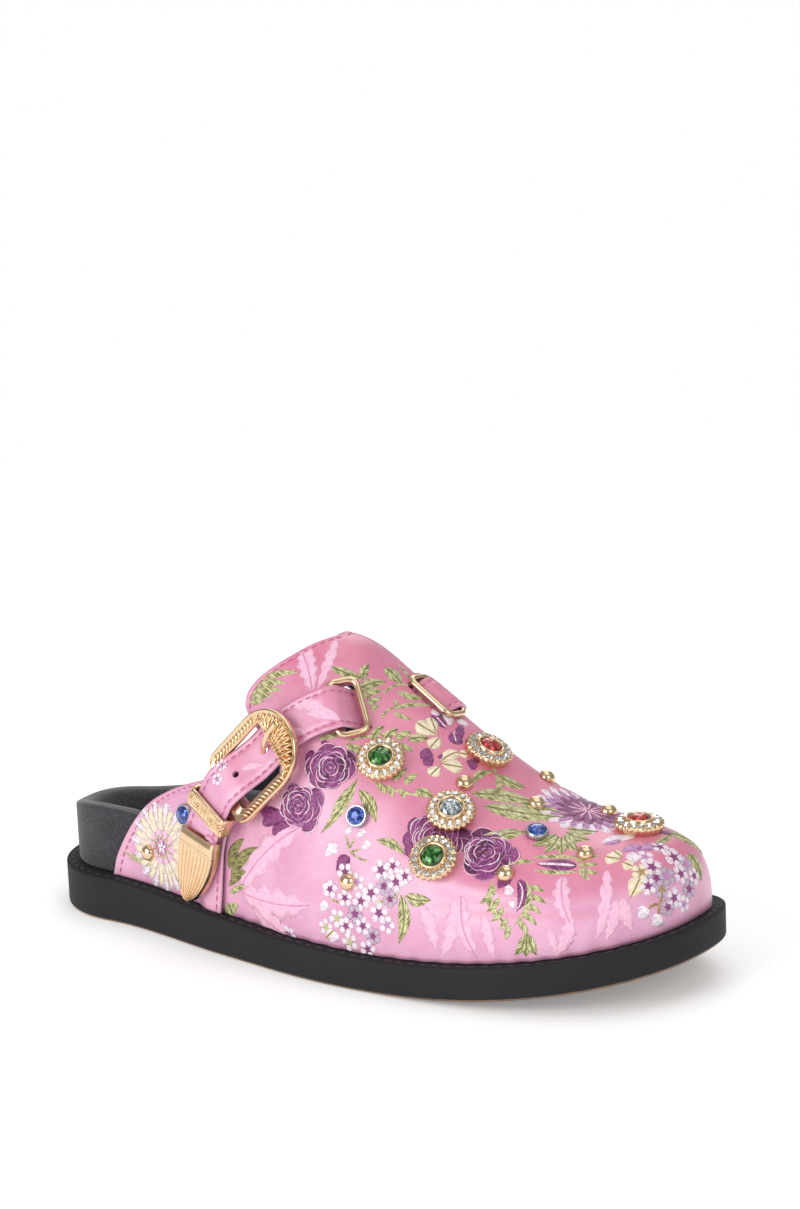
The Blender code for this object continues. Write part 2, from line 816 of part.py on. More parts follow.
def build_tip():
    first_turn = STRAP_ROUTE[0][0]
    across, along, up = strap_axes(first_turn)
    start = strap_point(first_turn) - along * (SEAM_GAP + TIP_ROUND)
    matrix = frame_matrix(-across, -along, up, start)
    right = [Vector((half, TIP_LENGTH * part, 0.0)) for part, half in TIP_OUTLINE]
    left = [Vector((-half, TIP_LENGTH * part, 0.0)) for part, half in reversed(TIP_OUTLINE)]
    tip = curve_object("strap_tip", [right + left], matrix, "2D")
    tip.data.fill_mode = "BOTH"
    tip.data.extrude = (TIP_THICKNESS / 2 - TIP_ROUND) * MILLIMETRE
    tip.data.bevel_depth = TIP_ROUND * MILLIMETRE
    tip.data.bevel_resolution = 1


build_ring("ring_lateral", *LATERAL_RING)
build_ring("ring_medial", *MEDIAL_RING)
build_buckle()
build_prong()
build_keeper()
build_tip()


# Trim: turned settings, stones and studs seated on the upper


def turned_mesh(name, profile):
    form = bmesh.new()
    corners = [form.verts.new((radius * MILLIMETRE, 0.0, height * MILLIMETRE)) for radius, height in profile]
    for upper, lower in zip(corners, corners[1:]):
        form.edges.new((upper, lower))
    mesh = bpy.data.meshes.new(name)
    form.to_mesh(mesh)
    form.free()
    return mesh


def add_turned(name, profile, steps, material, side, station, height):
    """Turned piece standing on the upper at a place of the last."""
    turned = add_object(name, turned_mesh(name, profile), material)
    screw = turned.modifiers.new("turn", "SCREW")
    screw.axis = "Z"
    screw.steps = steps
    screw.render_steps = steps
    screw.use_merge_vertices = True
    screw.merge_threshold = MERGE_DISTANCE
    screw.use_smooth_shade = True
    up = last_normal(side, station, height)
    cover = quarter_lift(station) if station < LATERAL_QUARTER[0][2] else 0.0
    place = lifted_point(side, station, height, cover + SEAT_GAP)
    facing = up.to_track_quat("Z", "Y").to_matrix().to_4x4()
    turned.matrix_world = Matrix.Translation(to_world(place)) @ facing


for number, (side, station, height, colour) in enumerate(BROOCHES, 1):
    add_turned(f"brooch_{number}", BROOCH_PROFILE, BROOCH_STEPS, GOLD, side, station, height)
    add_turned(f"gem_{number}", GEM_PROFILE, GEM_STEPS, GEM_MATERIALS[colour], side, station, height)
for number, place in enumerate(STONES, 1):
    add_turned(f"stone_setting_{number}", BEZEL_PROFILE, GEM_STEPS, SILVER, *place)
    add_turned(f"stone_{number}", STONE_PROFILE, GEM_STEPS, GEM_MATERIALS["blue"], *place)
for number, place in enumerate(STUDS, 1):
    add_turned(f"stud_{number}", STUD_PROFILE, STUD_STEPS, GOLD, *place)
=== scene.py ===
import math

import bmesh
import bpy
import numpy as np
from mathutils import Matrix, Vector
from mathutils.bvhtree import BVHTree
from mathutils.kdtree import KDTree


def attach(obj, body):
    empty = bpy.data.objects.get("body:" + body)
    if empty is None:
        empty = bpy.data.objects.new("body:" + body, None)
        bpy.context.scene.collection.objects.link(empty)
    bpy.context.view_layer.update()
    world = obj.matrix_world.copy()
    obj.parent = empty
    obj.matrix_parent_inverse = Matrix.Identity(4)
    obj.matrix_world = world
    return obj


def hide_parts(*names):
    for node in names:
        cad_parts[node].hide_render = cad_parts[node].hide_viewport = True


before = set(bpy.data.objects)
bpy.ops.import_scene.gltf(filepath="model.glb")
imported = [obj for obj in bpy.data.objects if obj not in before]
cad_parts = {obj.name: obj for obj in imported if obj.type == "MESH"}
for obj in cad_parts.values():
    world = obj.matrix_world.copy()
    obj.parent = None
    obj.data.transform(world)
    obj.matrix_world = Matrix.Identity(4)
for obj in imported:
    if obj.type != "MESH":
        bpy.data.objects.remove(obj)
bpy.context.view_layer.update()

# Outsole: a slab of foam rubber moulded with a rounded foot and a narrow ledge round the upper,
# cemented to a thin brown tread layer with fine cross ribs. The upper is stitched to its ledge.
MILLIMETRE = 0.001
LATERAL = -1
MEDIAL = 1
SOLE_LENGTH = 262.0
CENTRE_STATION = SOLE_LENGTH / 2
CENTRE_Y = -1.9
HEEL_THICKNESS = 16.5
FORE_THICKNESS = 12.0
THINNING_START = 20.0
THINNING_END = 160.0
TOE_SPRING = 13.8
SPRING_START = 152.0
HEEL_ARC = 34.0
TIP_OFFSET = 5.0
TOE_POWERS = {LATERAL: 2.35, MEDIAL: 2.44}
# Sole outline: station, half width
OUTLINES = {
    LATERAL: [(34, 32.3), (95, 43.5), (140, 50.5), (168, 51.0)],
    MEDIAL: [(34, 32.5), (95, 34.5), (150, 43.0), (192, 47.2)],
}
CENTRE_HEEL = 40.0
CENTRE_TOE = 214.0
SMALL_ANGLE = 1e-4
SMALL_LENGTH = 1e-12
WELD_DISTANCE = 2e-6


def soft_step(start, end, value):
    """0 before start, 1 after end, with a soft change between."""
    part = np.clip((value - start) / (end - start), 0.0, 1.0)
    return part * part * (3 - 2 * part)


def table_curve(rows, column, flat_ends=False):
    """Smooth curve through one column of a table, read at the values of its first column."""
    places = np.array([row[0] for row in rows], float)
    values = np.array([row[column] for row in rows], float)
    slopes = np.gradient(values, places)
    if flat_ends:
        slopes[0] = slopes[-1] = 0.0

    def read(place):
        place = np.clip(place, places[0], places[-1])
        index = np.clip(np.searchsorted(places, place) - 1, 0, len(places) - 2)
        step = places[index + 1] - places[index]
        part = (place - places[index]) / step
        level = values[index] + (values[index + 1] - values[index]) * (3 * part**2 - 2 * part**3)
        bends = (part**3 - 2 * part**2 + part) * slopes[index] + (part**3 - part**2) * slopes[index + 1]
        return level + step * bends

    return read


half_widths = {side: table_curve(rows, 1, flat_ends=True) for side, rows in OUTLINES.items()}


def sole_edge(side, station):
    """y of the sole's edge at a station."""
    toe_start, toe_width = OUTLINES[side][-1]
    power = TOE_POWERS[side]
    tip = side * TIP_OFFSET
    drop = np.clip((HEEL_ARC - station) / HEEL_ARC, 0.0, 1.0)
    heel = OUTLINES[side][0][1] * np.sqrt(1 - drop**2)
    part = np.clip((station - toe_start) / (SOLE_LENGTH - toe_start), 0.0, 1.0)
    toe = tip + (toe_width - tip) * (1 - part**power) ** (1 / power)
    front = np.where(station <= toe_start, half_widths[side](station), toe)
    return side * np.where(station < HEEL_ARC, heel, front)


def outline_angle(station):
    """Angle whose cosine places a station, 0 at the heel and pi at the toe."""
    return np.arccos(np.clip(1 - 2 * station / SOLE_LENGTH, -1.0, 1.0))


def outline_station(angle):
    return CENTRE_STATION * (1 - np.cos(angle))


def edge_point(side, station, inset):
    """Station and y of the sole's edge moved inwards by inset."""
    angle = outline_angle(station)
    before = outline_station(np.maximum(angle - SMALL_ANGLE, 0.0))
    after = outline_station(np.minimum(angle + SMALL_ANGLE, math.pi))
    run = after - before
    rise = sole_edge(side, after) - sole_edge(side, before)
    length = np.maximum(np.hypot(run, rise), SMALL_LENGTH)
    out_station = np.where(station <= 0, -1.0, np.where(station >= SOLE_LENGTH, 1.0, -rise / length * side))
    out_y = np.where((station <= 0) | (station >= SOLE_LENGTH), 0.0, run / length * side)
    return station - out_station * inset, sole_edge(side, station) - out_y * inset


def centre_line(station):
    """Station and y of the centre line that a station's section runs to."""
    place = np.clip(station, CENTRE_HEEL, CENTRE_TOE)
    return place, (sole_edge(LATERAL, place) + sole_edge(MEDIAL, place)) / 2


def bottom_height(station):
    part = np.maximum(station - SPRING_START, 0.0) / (SOLE_LENGTH - SPRING_START)
    return TOE_SPRING * part**2


def rand_height(station):
    """Height of the sole's top face."""
    thinning = soft_step(THINNING_START, THINNING_END, station)
    return bottom_height(station) + HEEL_THICKNESS + (FORE_THICKNESS - HEEL_THICKNESS) * thinning


def to_world(station, y, height):
    return np.stack([station - CENTRE_STATION, y - CENTRE_Y, height], -1) * MILLIMETRE


def lay_grid(form, columns, rows, surface, spread=None):
    """Grid moved onto a surface. surface takes columns and rows from 0 to 1 and gives points in metres;
    spread gives the map's millimetres. Returns each vertex's column and row."""
    made = bmesh.ops.create_grid(form, x_segments=columns, y_segments=rows, size=0.5)["verts"]
    flat = np.array([vertex.co[:2] for vertex in made]) + 0.5
    for vertex, point in zip(made, surface(flat[:, 0], flat[:, 1])):
        vertex.co = point
    if spread is not None:
        layer = form.loops.layers.uv.verify()
        chart = dict(zip(made, np.stack(spread(flat[:, 0], flat[:, 1]), -1)))
        for face in {face for vertex in made for face in vertex.link_faces}:
            for loop in face.loops:
                loop[layer].uv = chart[loop.vert]
    return dict(zip(made, flat))


def weld(form):
    """Merge what meets, then turn the faces one way."""
    bmesh.ops.remove_doubles(form, verts=form.verts, dist=WELD_DISTANCE)
    bmesh.ops.recalc_face_normals(form, faces=form.faces)


def finish_piece(name, form, materials, replaced=(), sharp_degrees=50.0):
    """Object from a bmesh, shaded smooth with its hard edges kept, riding on the shoe."""
    mesh = bpy.data.meshes.new(name)
    form.to_mesh(mesh)
    form.free()
    mesh.shade_smooth()
    mesh.set_sharp_from_angle(angle=math.radians(sharp_degrees))
    for material in materials:
        mesh.materials.append(material)
    piece = bpy.data.objects.new(name, mesh)
    bpy.context.scene.collection.objects.link(piece)
    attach(piece, "root")
    if replaced:
        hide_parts(*replaced)
    return piece


def linear(hex_colour):
    """Linear colour of an sRGB hex value."""
    channels = [int(hex_colour[place:place + 2], 16) / 255 for place in (1, 3, 5)]
    return (*[c / 12.92 if c <= 0.04045 else ((c + 0.055) / 1.055) ** 2.4 for c in channels], 1.0)


def new_material(name, colour, roughness, **sockets):
    """Material with its Principled shader's own sockets set."""
    material = bpy.data.materials.new(name)
    material.use_nodes = True
    shader = material.node_tree.nodes["Principled BSDF"]
    values = {"Base Color": linear(colour), "Roughness": roughness}
    values.update({socket.replace("_", " "): value for socket, value in sockets.items()})
    for socket, value in values.items():
        shader.inputs[socket].default_value = value
    return material, material.node_tree, shader


def add_node(tree, kind, values=None, links=None, **settings):
    """Node with its settings, its sockets' values and what is linked to them."""
    node = tree.nodes.new(kind)
    for name, setting in settings.items():
        setattr(node, name, setting)
    for socket, value in (values or {}).items():
        node.inputs[socket].default_value = value
    for socket, source in (links or {}).items():
        tree.links.new(in_use(source), node.inputs[socket])
    return node


def in_use(source):
    """An output itself, or the first output in use of a node."""
    return next(output for output in getattr(source, "outputs", [source]) if output.enabled)


def feed(shader, **sources):
    """Links what makes a material's colour, roughness or relief to its shader."""
    for socket, source in sources.items():
        shader.id_data.links.new(in_use(source), shader.inputs[socket.replace("_", " ")])


def per_metre(size):
    """Texture scale whose features are about this many millimetres, on coordinates in metres."""
    return 1 / (size * MILLIMETRE)


# Moulded foam rubber: matt and almost even, with a fine pebble from the mould and faint dusty patches
foam_rubber, tree, shader = new_material("moulded_foam_rubber", "#1B1B1F", 0.66, Specular_IOR_Level=0.3)
place = add_node(tree, "ShaderNodeTexCoord").outputs["Object"]
pebble = add_node(tree, "ShaderNodeTexNoise", {"Scale": per_metre(0.9), "Detail": 3.0}, {"Vector": place})
dust = add_node(tree, "ShaderNodeTexNoise", {"Scale": per_metre(26.0), "Detail": 4.0}, {"Vector": place})
tone = add_node(
    tree, "ShaderNodeMix", {"A": linear("#16161A"), "B": linear("#202024")},
    {"Factor": dust}, data_type="RGBA")
bump = add_node(
    tree, "ShaderNodeBump", {"Strength": 0.35, "Distance": 0.12 * MILLIMETRE}, {"Height": pebble})
feed(shader, Base_Color=tone, Normal=bump)

# Solid brown tread rubber: smoother and warmer than the foam, scuffed paler in patches
tread_rubber, tree, shader = new_material("brown_tread_rubber", "#8E6F52", 0.58, Specular_IOR_Level=0.35)
place = add_node(tree, "ShaderNodeTexCoord").outputs["Object"]
scuffs = add_node(tree, "ShaderNodeTexNoise", {"Scale": per_metre(6.0), "Detail": 6.0}, {"Vector": place})
tone = add_node(
    tree, "ShaderNodeMix", {"A": linear("#5E4A3B"), "B": linear("#8C6F57")},
    {"Factor": scuffs}, data_type="RGBA")
feed(shader, Base_Color=tone)

SOLE_COLUMNS = 260
SOLE_ROUND = 1.6
RAND_ROUND = 1.0
TREAD_LAYER = 1.05
RIB_PITCH = 6.5
RIB_DEPTH = 1.3
RIB_BORDER = 3.2
RIB_SLOPE = 0.6
GROOVE_STEEPNESS = 2.0
TREAD_INSETS = (28.0, 16.0, 8.0, RIB_BORDER + RIB_SLOPE)
WALL_DROPS = (7.0, 4.0, 1.5)
STITCH_INSET = 2.3
STITCH_TROUGH = 0.35
TROUGH_HALF = 0.6
FOOTBED_INSET = 6.8

# Rows of the sole's section from the middle of the bottom over the wall to the middle of the top:
# inset from the edge (None for the centre line), rise from the bottom or the top face, the face, rib depth
sole_rows = [(None, 0.0, "bottom", RIB_DEPTH)]
sole_rows += [(inset, 0.0, "bottom", RIB_DEPTH) for inset in TREAD_INSETS]
sole_rows += [(RIB_BORDER, 0.0, "bottom", 0.0)]
for degrees in (0, 22, 45, 68, 90):
    turn = math.radians(degrees)
    sole_rows.append((SOLE_ROUND * (1 - math.sin(turn)), SOLE_ROUND * (1 - math.cos(turn)), "bottom", 0.0))
sole_rows += [(0.0, -RAND_ROUND - drop, "top", 0.0) for drop in WALL_DROPS]
for degrees in (0, 30, 60, 90):
    turn = math.radians(degrees)
    sole_rows.append((RAND_ROUND * (1 - math.cos(turn)), RAND_ROUND * (math.sin(turn) - 1), "top", 0.0))
sole_rows += [
    (STITCH_INSET - TROUGH_HALF, 0.0, "top", 0.0),
    (STITCH_INSET, -STITCH_TROUGH, "top", 0.0),
    (STITCH_INSET + TROUGH_HALF, 0.0, "top", 0.0),
    (FOOTBED_INSET, 0.0, "top", 0.0),
    (None, 0.0, "top", 0.0),
]


def sole_surface(side):
    def surface(column, row):
        station = outline_station(column * math.pi)
        number = np.round(row * (len(sole_rows) - 1)).astype(int)
        inset = np.array([0.0 if sole_row[0] is None else sole_row[0] for sole_row in sole_rows])[number]
        centred = np.array([sole_row[0] is None for sole_row in sole_rows])[number]
        rise = np.array([sole_row[1] for sole_row in sole_rows])[number]
        on_top = np.array([sole_row[2] == "top" for sole_row in sole_rows])[number]
        rib = np.array([sole_row[3] for sole_row in sole_rows])[number]
        edge = edge_point(side, station, inset)
        middle = centre_line(station)
        along = np.where(centred, middle[0], edge[0])
        y = np.where(centred, middle[1], edge[1])
        wave = np.cos(station / RIB_PITCH * 2 * math.pi)
        groove = rib * np.clip(0.5 - GROOVE_STEEPNESS * wave, 0.0, 1.0)
        return to_world(along, y, np.where(on_top, rand_height(along), bottom_height(along) + groove) + rise)

    return surface


def rise_over_bottom(vertex):
    """Height of a vertex over the sole's bottom, in millimetres."""
    return vertex.co.z / MILLIMETRE - bottom_height(vertex.co.x / MILLIMETRE + CENTRE_STATION)


form = bmesh.new()
for side in (LATERAL, MEDIAL):
    for vertex in lay_grid(form, SOLE_COLUMNS, len(sole_rows) - 1, sole_surface(side)):
        for face in vertex.link_faces:
            highest = max(rise_over_bottom(corner) for corner in face.verts)
            face.material_index = 1 if highest < TREAD_LAYER else 0
weld(form)
finish_piece("foam_outsole", form, [foam_rubber, tread_rubber], ["outsole"])


# Ledge stitching: black waxed thread that holds the upper to the sole, one stitch after another
# in the trough of the ledge. Each stitch is a short bead of thread pulled tight at its ends.
STITCH_BEAD = dict(u_segments=7, v_segments=5)


def lay_stitch(form, start, end, up, width, height):
    """One stitch: a bead drawn from start to end over a surface."""
    run = Vector(end) - Vector(start)
    along = run.normalized()
    across = Vector(up).cross(along).normalized()
    axes = Matrix((
        along * run.length / 2,
        across * width * MILLIMETRE / 2,
        along.cross(across) * height * MILLIMETRE,
    ))
    matrix = axes.transposed().to_4x4()
    matrix.translation = (Vector(start) + Vector(end)) / 2
    bmesh.ops.create_uvsphere(form, radius=1.0, matrix=matrix, **STITCH_BEAD)


def stitch_line(form, path, ups, stitch, gap, width, height):
    """Stitches of a length along a path of points in metres, with gaps between."""
    path = np.asarray(path)
    run = np.concatenate([[0.0], np.cumsum(np.linalg.norm(np.diff(path, axis=0), axis=1))]) / MILLIMETRE
    count = int(run[-1] // (stitch + gap))
    for number in range(count):
        first = number * (stitch + gap)
        ends = [[np.interp(at, run, path[:, axis]) for axis in range(3)] for at in (first, first + stitch)]
        up = [np.interp(first + stitch / 2, run, np.asarray(ups)[:, axis]) for axis in range(3)]
        lay_stitch(form, ends[0], ends[1], up, width, height)


# Waxed cotton thread: twisted, with a soft shine along its strands
black_thread, tree, shader = new_material("black_waxed_thread", "#1B1A1D", 0.6, Sheen_Weight=0.2)
place = add_node(tree, "ShaderNodeTexCoord").outputs["Object"]
strands = add_node(tree, "ShaderNodeTexNoise", {"Scale": per_metre(0.5), "Detail": 2.0}, {"Vector": place})
bump = add_node(
    tree, "ShaderNodeBump", {"Strength": 0.4, "Distance": 0.1 * MILLIMETRE}, {"Height": strands})
feed(shader, Normal=bump)

LEDGE_STITCH = 3.4
LEDGE_GAP = 1.3
LEDGE_THREAD = 0.9
LEDGE_THREAD_RISE = 0.35
LEDGE_THREAD_SEAT = 0.1
LEDGE_SAMPLES = 400
ups = np.tile((0.0, 0.0, 1.0), (LEDGE_SAMPLES, 1))
form = bmesh.new()
for side in (LATERAL, MEDIAL):
    station = outline_station(np.linspace(0, math.pi, LEDGE_SAMPLES))
    along, y = edge_point(side, station, STITCH_INSET)
    path = to_world(along, y, rand_height(along) - STITCH_TROUGH + LEDGE_THREAD_SEAT)
    stitch_line(form, path, ups, LEDGE_STITCH, LEDGE_GAP, LEDGE_THREAD, LEDGE_THREAD_RISE)
finish_piece("ledge_stitching", form, [black_thread])


# Footbed: a moulded cup of cork and foam that stands proud round the heel, covered in black suede
# that is turned over its rim and cemented down. It sits on the sole, inside the upper.
SEAM_GAP = 0.3
# Station, height of the rim over the sole's top on the lateral and medial side, height of the floor
FOOTBED_RIM = [
    (0, 19.0, 19.0, 6.0),
    (12, 22.6, 17.4, 5.6),
    (35, 24.0, 19.6, 5.0),
    (65, 21.0, 22.5, 6.0),
    (85, 17.0, 24.0, 8.0),
    (115, 12.0, 17.0, 7.0),
    (150, 8.5, 9.5, 5.0),
    (200, 6.0, 6.0, 4.0),
    (262, 5.5, 5.5, 4.0),
]
FOOTBED_HEEL_INSET = 4.8
INSET_BLEND_START = 8.0
INSET_BLEND_END = 32.0
# The wall leans in along the waist and stands straight round the heel
RIM_LEAN = 0.09
LEAN_START = 28.0
LEAN_END = 70.0
RIM_ROUND = 0.9
RIM_ROUND_SHARE = 0.045
RIM_WIDTH = 4.5
RIM_SOFTENING = 0.5
CUP_FOOT = 12.0
FOOT_BEVEL = 0.4
FOOT_BEVEL_SHARE = 0.03
FOOTBED_COLUMNS = 170
rim_heights = {LATERAL: table_curve(FOOTBED_RIM, 1), MEDIAL: table_curve(FOOTBED_RIM, 2)}
floor_height = table_curve(FOOTBED_RIM, 3)

# Rows of the footbed's section from under its middle, up the wall, over the rim and down to the floor:
# depth in from the wall (None for the centre line), part of the rim's height, part of the way to the floor
footbed_rows = [(None, 0.0, 0.0), (FOOT_BEVEL, 0.0, 0.0), (0.0, FOOT_BEVEL_SHARE, 0.0)]
footbed_rows += [(0.0, part, 0.0) for part in (0.25, 0.5, 0.75)]
for turn in np.linspace(0, math.pi / 2, 5):
    rim_part = 1.0 + (math.sin(turn) - 1) * RIM_ROUND_SHARE
    footbed_rows.append((RIM_ROUND * (1 - math.cos(turn)), rim_part, 0.0))
footbed_rows.append((RIM_WIDTH - RIM_SOFTENING, 1.0, 0.0))
for part in np.linspace(0.1, 1, 9):
    footbed_rows.append((RIM_WIDTH + CUP_FOOT * part, 1.0, 0.5 - 0.5 * math.cos(part * math.pi)))
footbed_rows.append((None, 1.0, 1.0))


def footbed_surface(side):
    def surface(column, row):
        station = outline_station(column * math.pi)
        number = np.round(row * (len(footbed_rows) - 1)).astype(int)
        centred = np.array([line[0] is None for line in footbed_rows])[number]
        depth = np.array([line[0] or 0.0 for line in footbed_rows])[number]
        rim_part = np.array([line[1] for line in footbed_rows])[number]
        floor_part = np.array([line[2] for line in footbed_rows])[number]
        blend = soft_step(INSET_BLEND_START, INSET_BLEND_END, station)
        wall = FOOTBED_HEEL_INSET + (FOOTBED_INSET - FOOTBED_HEEL_INSET) * blend
        rim = rim_heights[side](station)
        lean = RIM_LEAN * soft_step(LEAN_START, LEAN_END, station)
        edge = edge_point(side, station, wall + lean * rim * rim_part + depth)
        middle = centre_line(station)
        along = np.where(centred, middle[0], edge[0])
        y = np.where(centred, middle[1], edge[1])
        rise = SEAM_GAP + (rim - SEAM_GAP) * rim_part
        rise = rise + (floor_height(station) - rise) * floor_part
        return to_world(along, y, rand_height(along) + rise)

    return surface


# Black suede: a short nap that scatters light, brushed paler in patches, with pale specks painted into its
# colour as glints where the ends of its fibres catch the light
black_suede, tree, shader = new_material(
    "black_suede", "#1D1C1F", 0.92, Sheen_Weight=0.35, Sheen_Roughness=0.5, Specular_IOR_Level=0.2)
place = add_node(tree, "ShaderNodeTexCoord").outputs["Object"]
nap = add_node(tree, "ShaderNodeTexNoise", {"Scale": per_metre(0.8), "Detail": 5.0}, {"Vector": place})
brushing = add_node(tree, "ShaderNodeTexNoise", {"Scale": per_metre(14.0), "Detail": 4.0}, {"Vector": place})
tone = add_node(
    tree, "ShaderNodeMix", {"A": linear("#1F1E21"), "B": linear("#3C3A3E")},
    {"Factor": brushing}, data_type="RGBA")
# Painted glints: pale specks where the nap noise runs high
fibre_glints = add_node(
    tree, "ShaderNodeMapRange", {"From Min": 0.48, "From Max": 0.72, "To Max": 0.6}, {"Value": nap})
glint_speckled = add_node(
    tree, "ShaderNodeMix", {"B": linear("#5A575D")}, {"A": tone, "Factor": fibre_glints}, data_type="RGBA")
bump = add_node(tree, "ShaderNodeBump", {"Strength": 0.5, "Distance": 0.25 * MILLIMETRE}, {"Height": nap})
feed(shader, Base_Color=glint_speckled, Normal=bump)

form = bmesh.new()
for side in (LATERAL, MEDIAL):
    lay_grid(form, FOOTBED_COLUMNS, len(footbed_rows) - 1, footbed_surface(side))
weld(form)
finish_piece("suede_footbed", form, [black_suede], ["footbed"])


# Vamp: the closed front of the upper, a hollow shell of pink satin brocade on a stiff interlining with a
# black lining, pulled over the last and tucked under at the sole. Its collar is turned in and stitched.
# Last spine: station, height, y, power of the cross section's super-ellipse
SPINE = [
    (30, 113.0, 2.0, 2.00),
    (80, 112.0, 2.5, 2.00),
    (110, 108.6, 3.0, 2.00),
    (125, 106.0, 3.5, 2.00),
    (145, 91.6, 4.0, 2.05),
    (170, 75.8, 5.0, 2.15),
    (195, 59.8, 6.0, 2.35),
    (215, 53.0, 6.5, 2.60),
    (234, 50.2, 7.0, 2.90),
]
# The medial side is fuller at the shoulder of the collar: added power, and where it fades
MEDIAL_SHOULDER = 0.45
SHOULDER_START = 145.0
SHOULDER_END = 172.0
FEATHER_INSET = 4.5
FAN_STATION = 234.0
FAN_SOFTNESS = 14.0
SMALL_STEP = 1e-3
spine_height = table_curve(SPINE, 1)
spine_y = table_curve(SPINE, 2)
spine_power = table_curve(SPINE, 3)


def last_point(side, station, height):
    """Point of the last in millimetres: a super-ellipse from the feather, height 0, to the spine, 1."""
    along, y = edge_point(side, station, FEATHER_INSET)
    top = -FAN_SOFTNESS * np.log(np.exp(-station / FAN_SOFTNESS) + math.exp(-FAN_STATION / FAN_SOFTNESS))
    power = spine_power(top)
    if side == MEDIAL:
        power = power + MEDIAL_SHOULDER * (1 - soft_step(SHOULDER_START, SHOULDER_END, top))
    base = rand_height(along) + SEAM_GAP
    angle = height * math.pi / 2
    inward = 1 - np.maximum(np.cos(angle), 0.0) ** (2 / power)
    upward = np.maximum(np.sin(angle), 0.0) ** (2 / power)
    return np.stack([
        along + (top - along) * inward,
        y + (spine_y(top) - y) * inward,
        base + (spine_height(top) - base) * upward,
    ], -1)


def last_normal(side, station, height):
    """Outward direction of the last."""
    angle = outline_angle(station)
    after = last_point(side, outline_station(np.minimum(angle + SMALL_STEP, math.pi)), height)
    before = last_point(side, outline_station(np.maximum(angle - SMALL_STEP, 0.0)), height)
    above = last_point(side, station, np.minimum(height + SMALL_STEP, 1.0))
    below = last_point(side, station, np.maximum(height - SMALL_STEP, 0.0))
    normal = np.cross(after - before, above - below) * -side
    return normal / np.maximum(np.linalg.norm(normal, axis=-1, keepdims=True), SMALL_LENGTH)


def lifted(side, station, height, lift):
    """Point in metres, lifted from the last along its outward direction."""
    station, height, lift = np.broadcast_arrays(station, height, lift)
    point = last_point(side, station, height) + last_normal(side, station, height) * lift[..., None]
    return to_world(point[..., 0], point[..., 1], point[..., 2])


def over_foot(turn, station, lift):
    """Point over the foot; turn runs from the lateral feather, -1, over the spine, 0, to the medial, 1."""
    turn, station, lift = np.broadcast_arrays(np.asarray(turn, float), station, lift)
    height = 1 - np.abs(turn)
    near = lifted(LATERAL, station, height, lift)
    far = lifted(MEDIAL, station, height, lift)
    return np.where((turn <= 0)[..., None], near, far)


VAMP_WALL = 2.0
# Height fraction of each section line, its rear station on the lateral and medial side
VAMP_SECTIONS = [
    (0.000, 86.5, 86.5),
    (0.090, 87.0, 87.0),
    (0.170, 88.0, 88.0),
    (0.230, 92.0, 90.0),
    (0.280, 104.0, 101.0),
    (0.330, 113.0, 110.0),
    (0.385, 116.5, 114.0),
    (0.435, 113.5, 111.5),
    (0.485, 103.0, 102.5),
    (0.530, 96.8, 97.5),
    (0.570, 95.8, 96.5),
    (0.630, 98.2, 98.5),
    (0.700, 103.2, 104.2),
    (0.780, 108.8, 109.2),
    (0.860, 113.2, 114.4),
    (0.930, 116.6, 117.5),
    (1.000, 118.5, 118.5),
]
VAMP_COLUMNS = 130
VAMP_ROWS = 96
EDGE_COLUMNS = 10
EDGE_BAND = 5.0
EDGE_ROUND = 0.9
EDGE_DROP_SHARE = 0.6
SEAM_INSET = 2.2
SEAM_TROUGH = 0.3
SEAM_WIDTH = 0.8
PUCKER_PITCH = 8.5
PUCKER_RISE = 0.3
PUCKER_FADE = 0.045
PUCKER_DRIFT = 1.3
PUCKER_DRIFT_LENGTH = 17.0
SMOOTH_TOE_START = 238.0
SMOOTH_TOE_END = 258.0
# Soft folds of the lasted cloth: side, station, height, half length, half height, rise
FOLDS = [
    (LATERAL, 203.0, 0.245, 34.0, 0.045, -0.7),
    (LATERAL, 198.0, 0.330, 36.0, 0.060, 0.5),
    (LATERAL, 128.0, 0.100, 20.0, 0.050, 0.4),
    (LATERAL, 240.0, 0.130, 14.0, 0.060, 0.5),
    (MEDIAL, 188.0, 0.240, 32.0, 0.050, -0.6),
    (MEDIAL, 140.0, 0.150, 22.0, 0.060, 0.4),
]
# Length of cloth from the feather to the ridge, for the map of its weave
ARC = 100.0
# The rear edge runs level over the ridge: a row beyond it repeats the last one before it
ridge_rows = VAMP_SECTIONS + [(2 - VAMP_SECTIONS[-2][0], *VAMP_SECTIONS[-2][1:])]
vamp_rear = {LATERAL: table_curve(ridge_rows, 1), MEDIAL: table_curve(ridge_rows, 2)}


def turned_edge(depth):
    """Lift of a turned and stitched edge at a depth in from it: rounded over, with a trough at the seam."""
    over = np.clip(1 - depth / EDGE_ROUND, 0.0, 1.0)
    seam = np.exp(-(((depth - SEAM_INSET) / SEAM_WIDTH) ** 2))
    return -EDGE_ROUND * (1 - np.sqrt(1 - over**2)) * EDGE_DROP_SHARE - SEAM_TROUGH * seam


def cloth_lift(side, station, height):
    """Lift of the lasted cloth: puckers along the feather and a few soft folds, smooth round the toe."""
    drift = PUCKER_DRIFT * np.sin(station / PUCKER_DRIFT_LENGTH)
    waves = np.sin(station / PUCKER_PITCH * 2 * math.pi + drift)
    lift = PUCKER_RISE * waves * np.exp(-height / PUCKER_FADE)
    for fold_side, middle, level, length, breadth, rise in FOLDS:
        if fold_side == side:
            away = ((station - middle) / length) ** 2 + ((height - level) / breadth) ** 2
            lift = lift + rise * np.exp(-away)
    return lift * (1 - soft_step(SMOOTH_TOE_START, SMOOTH_TOE_END, station))


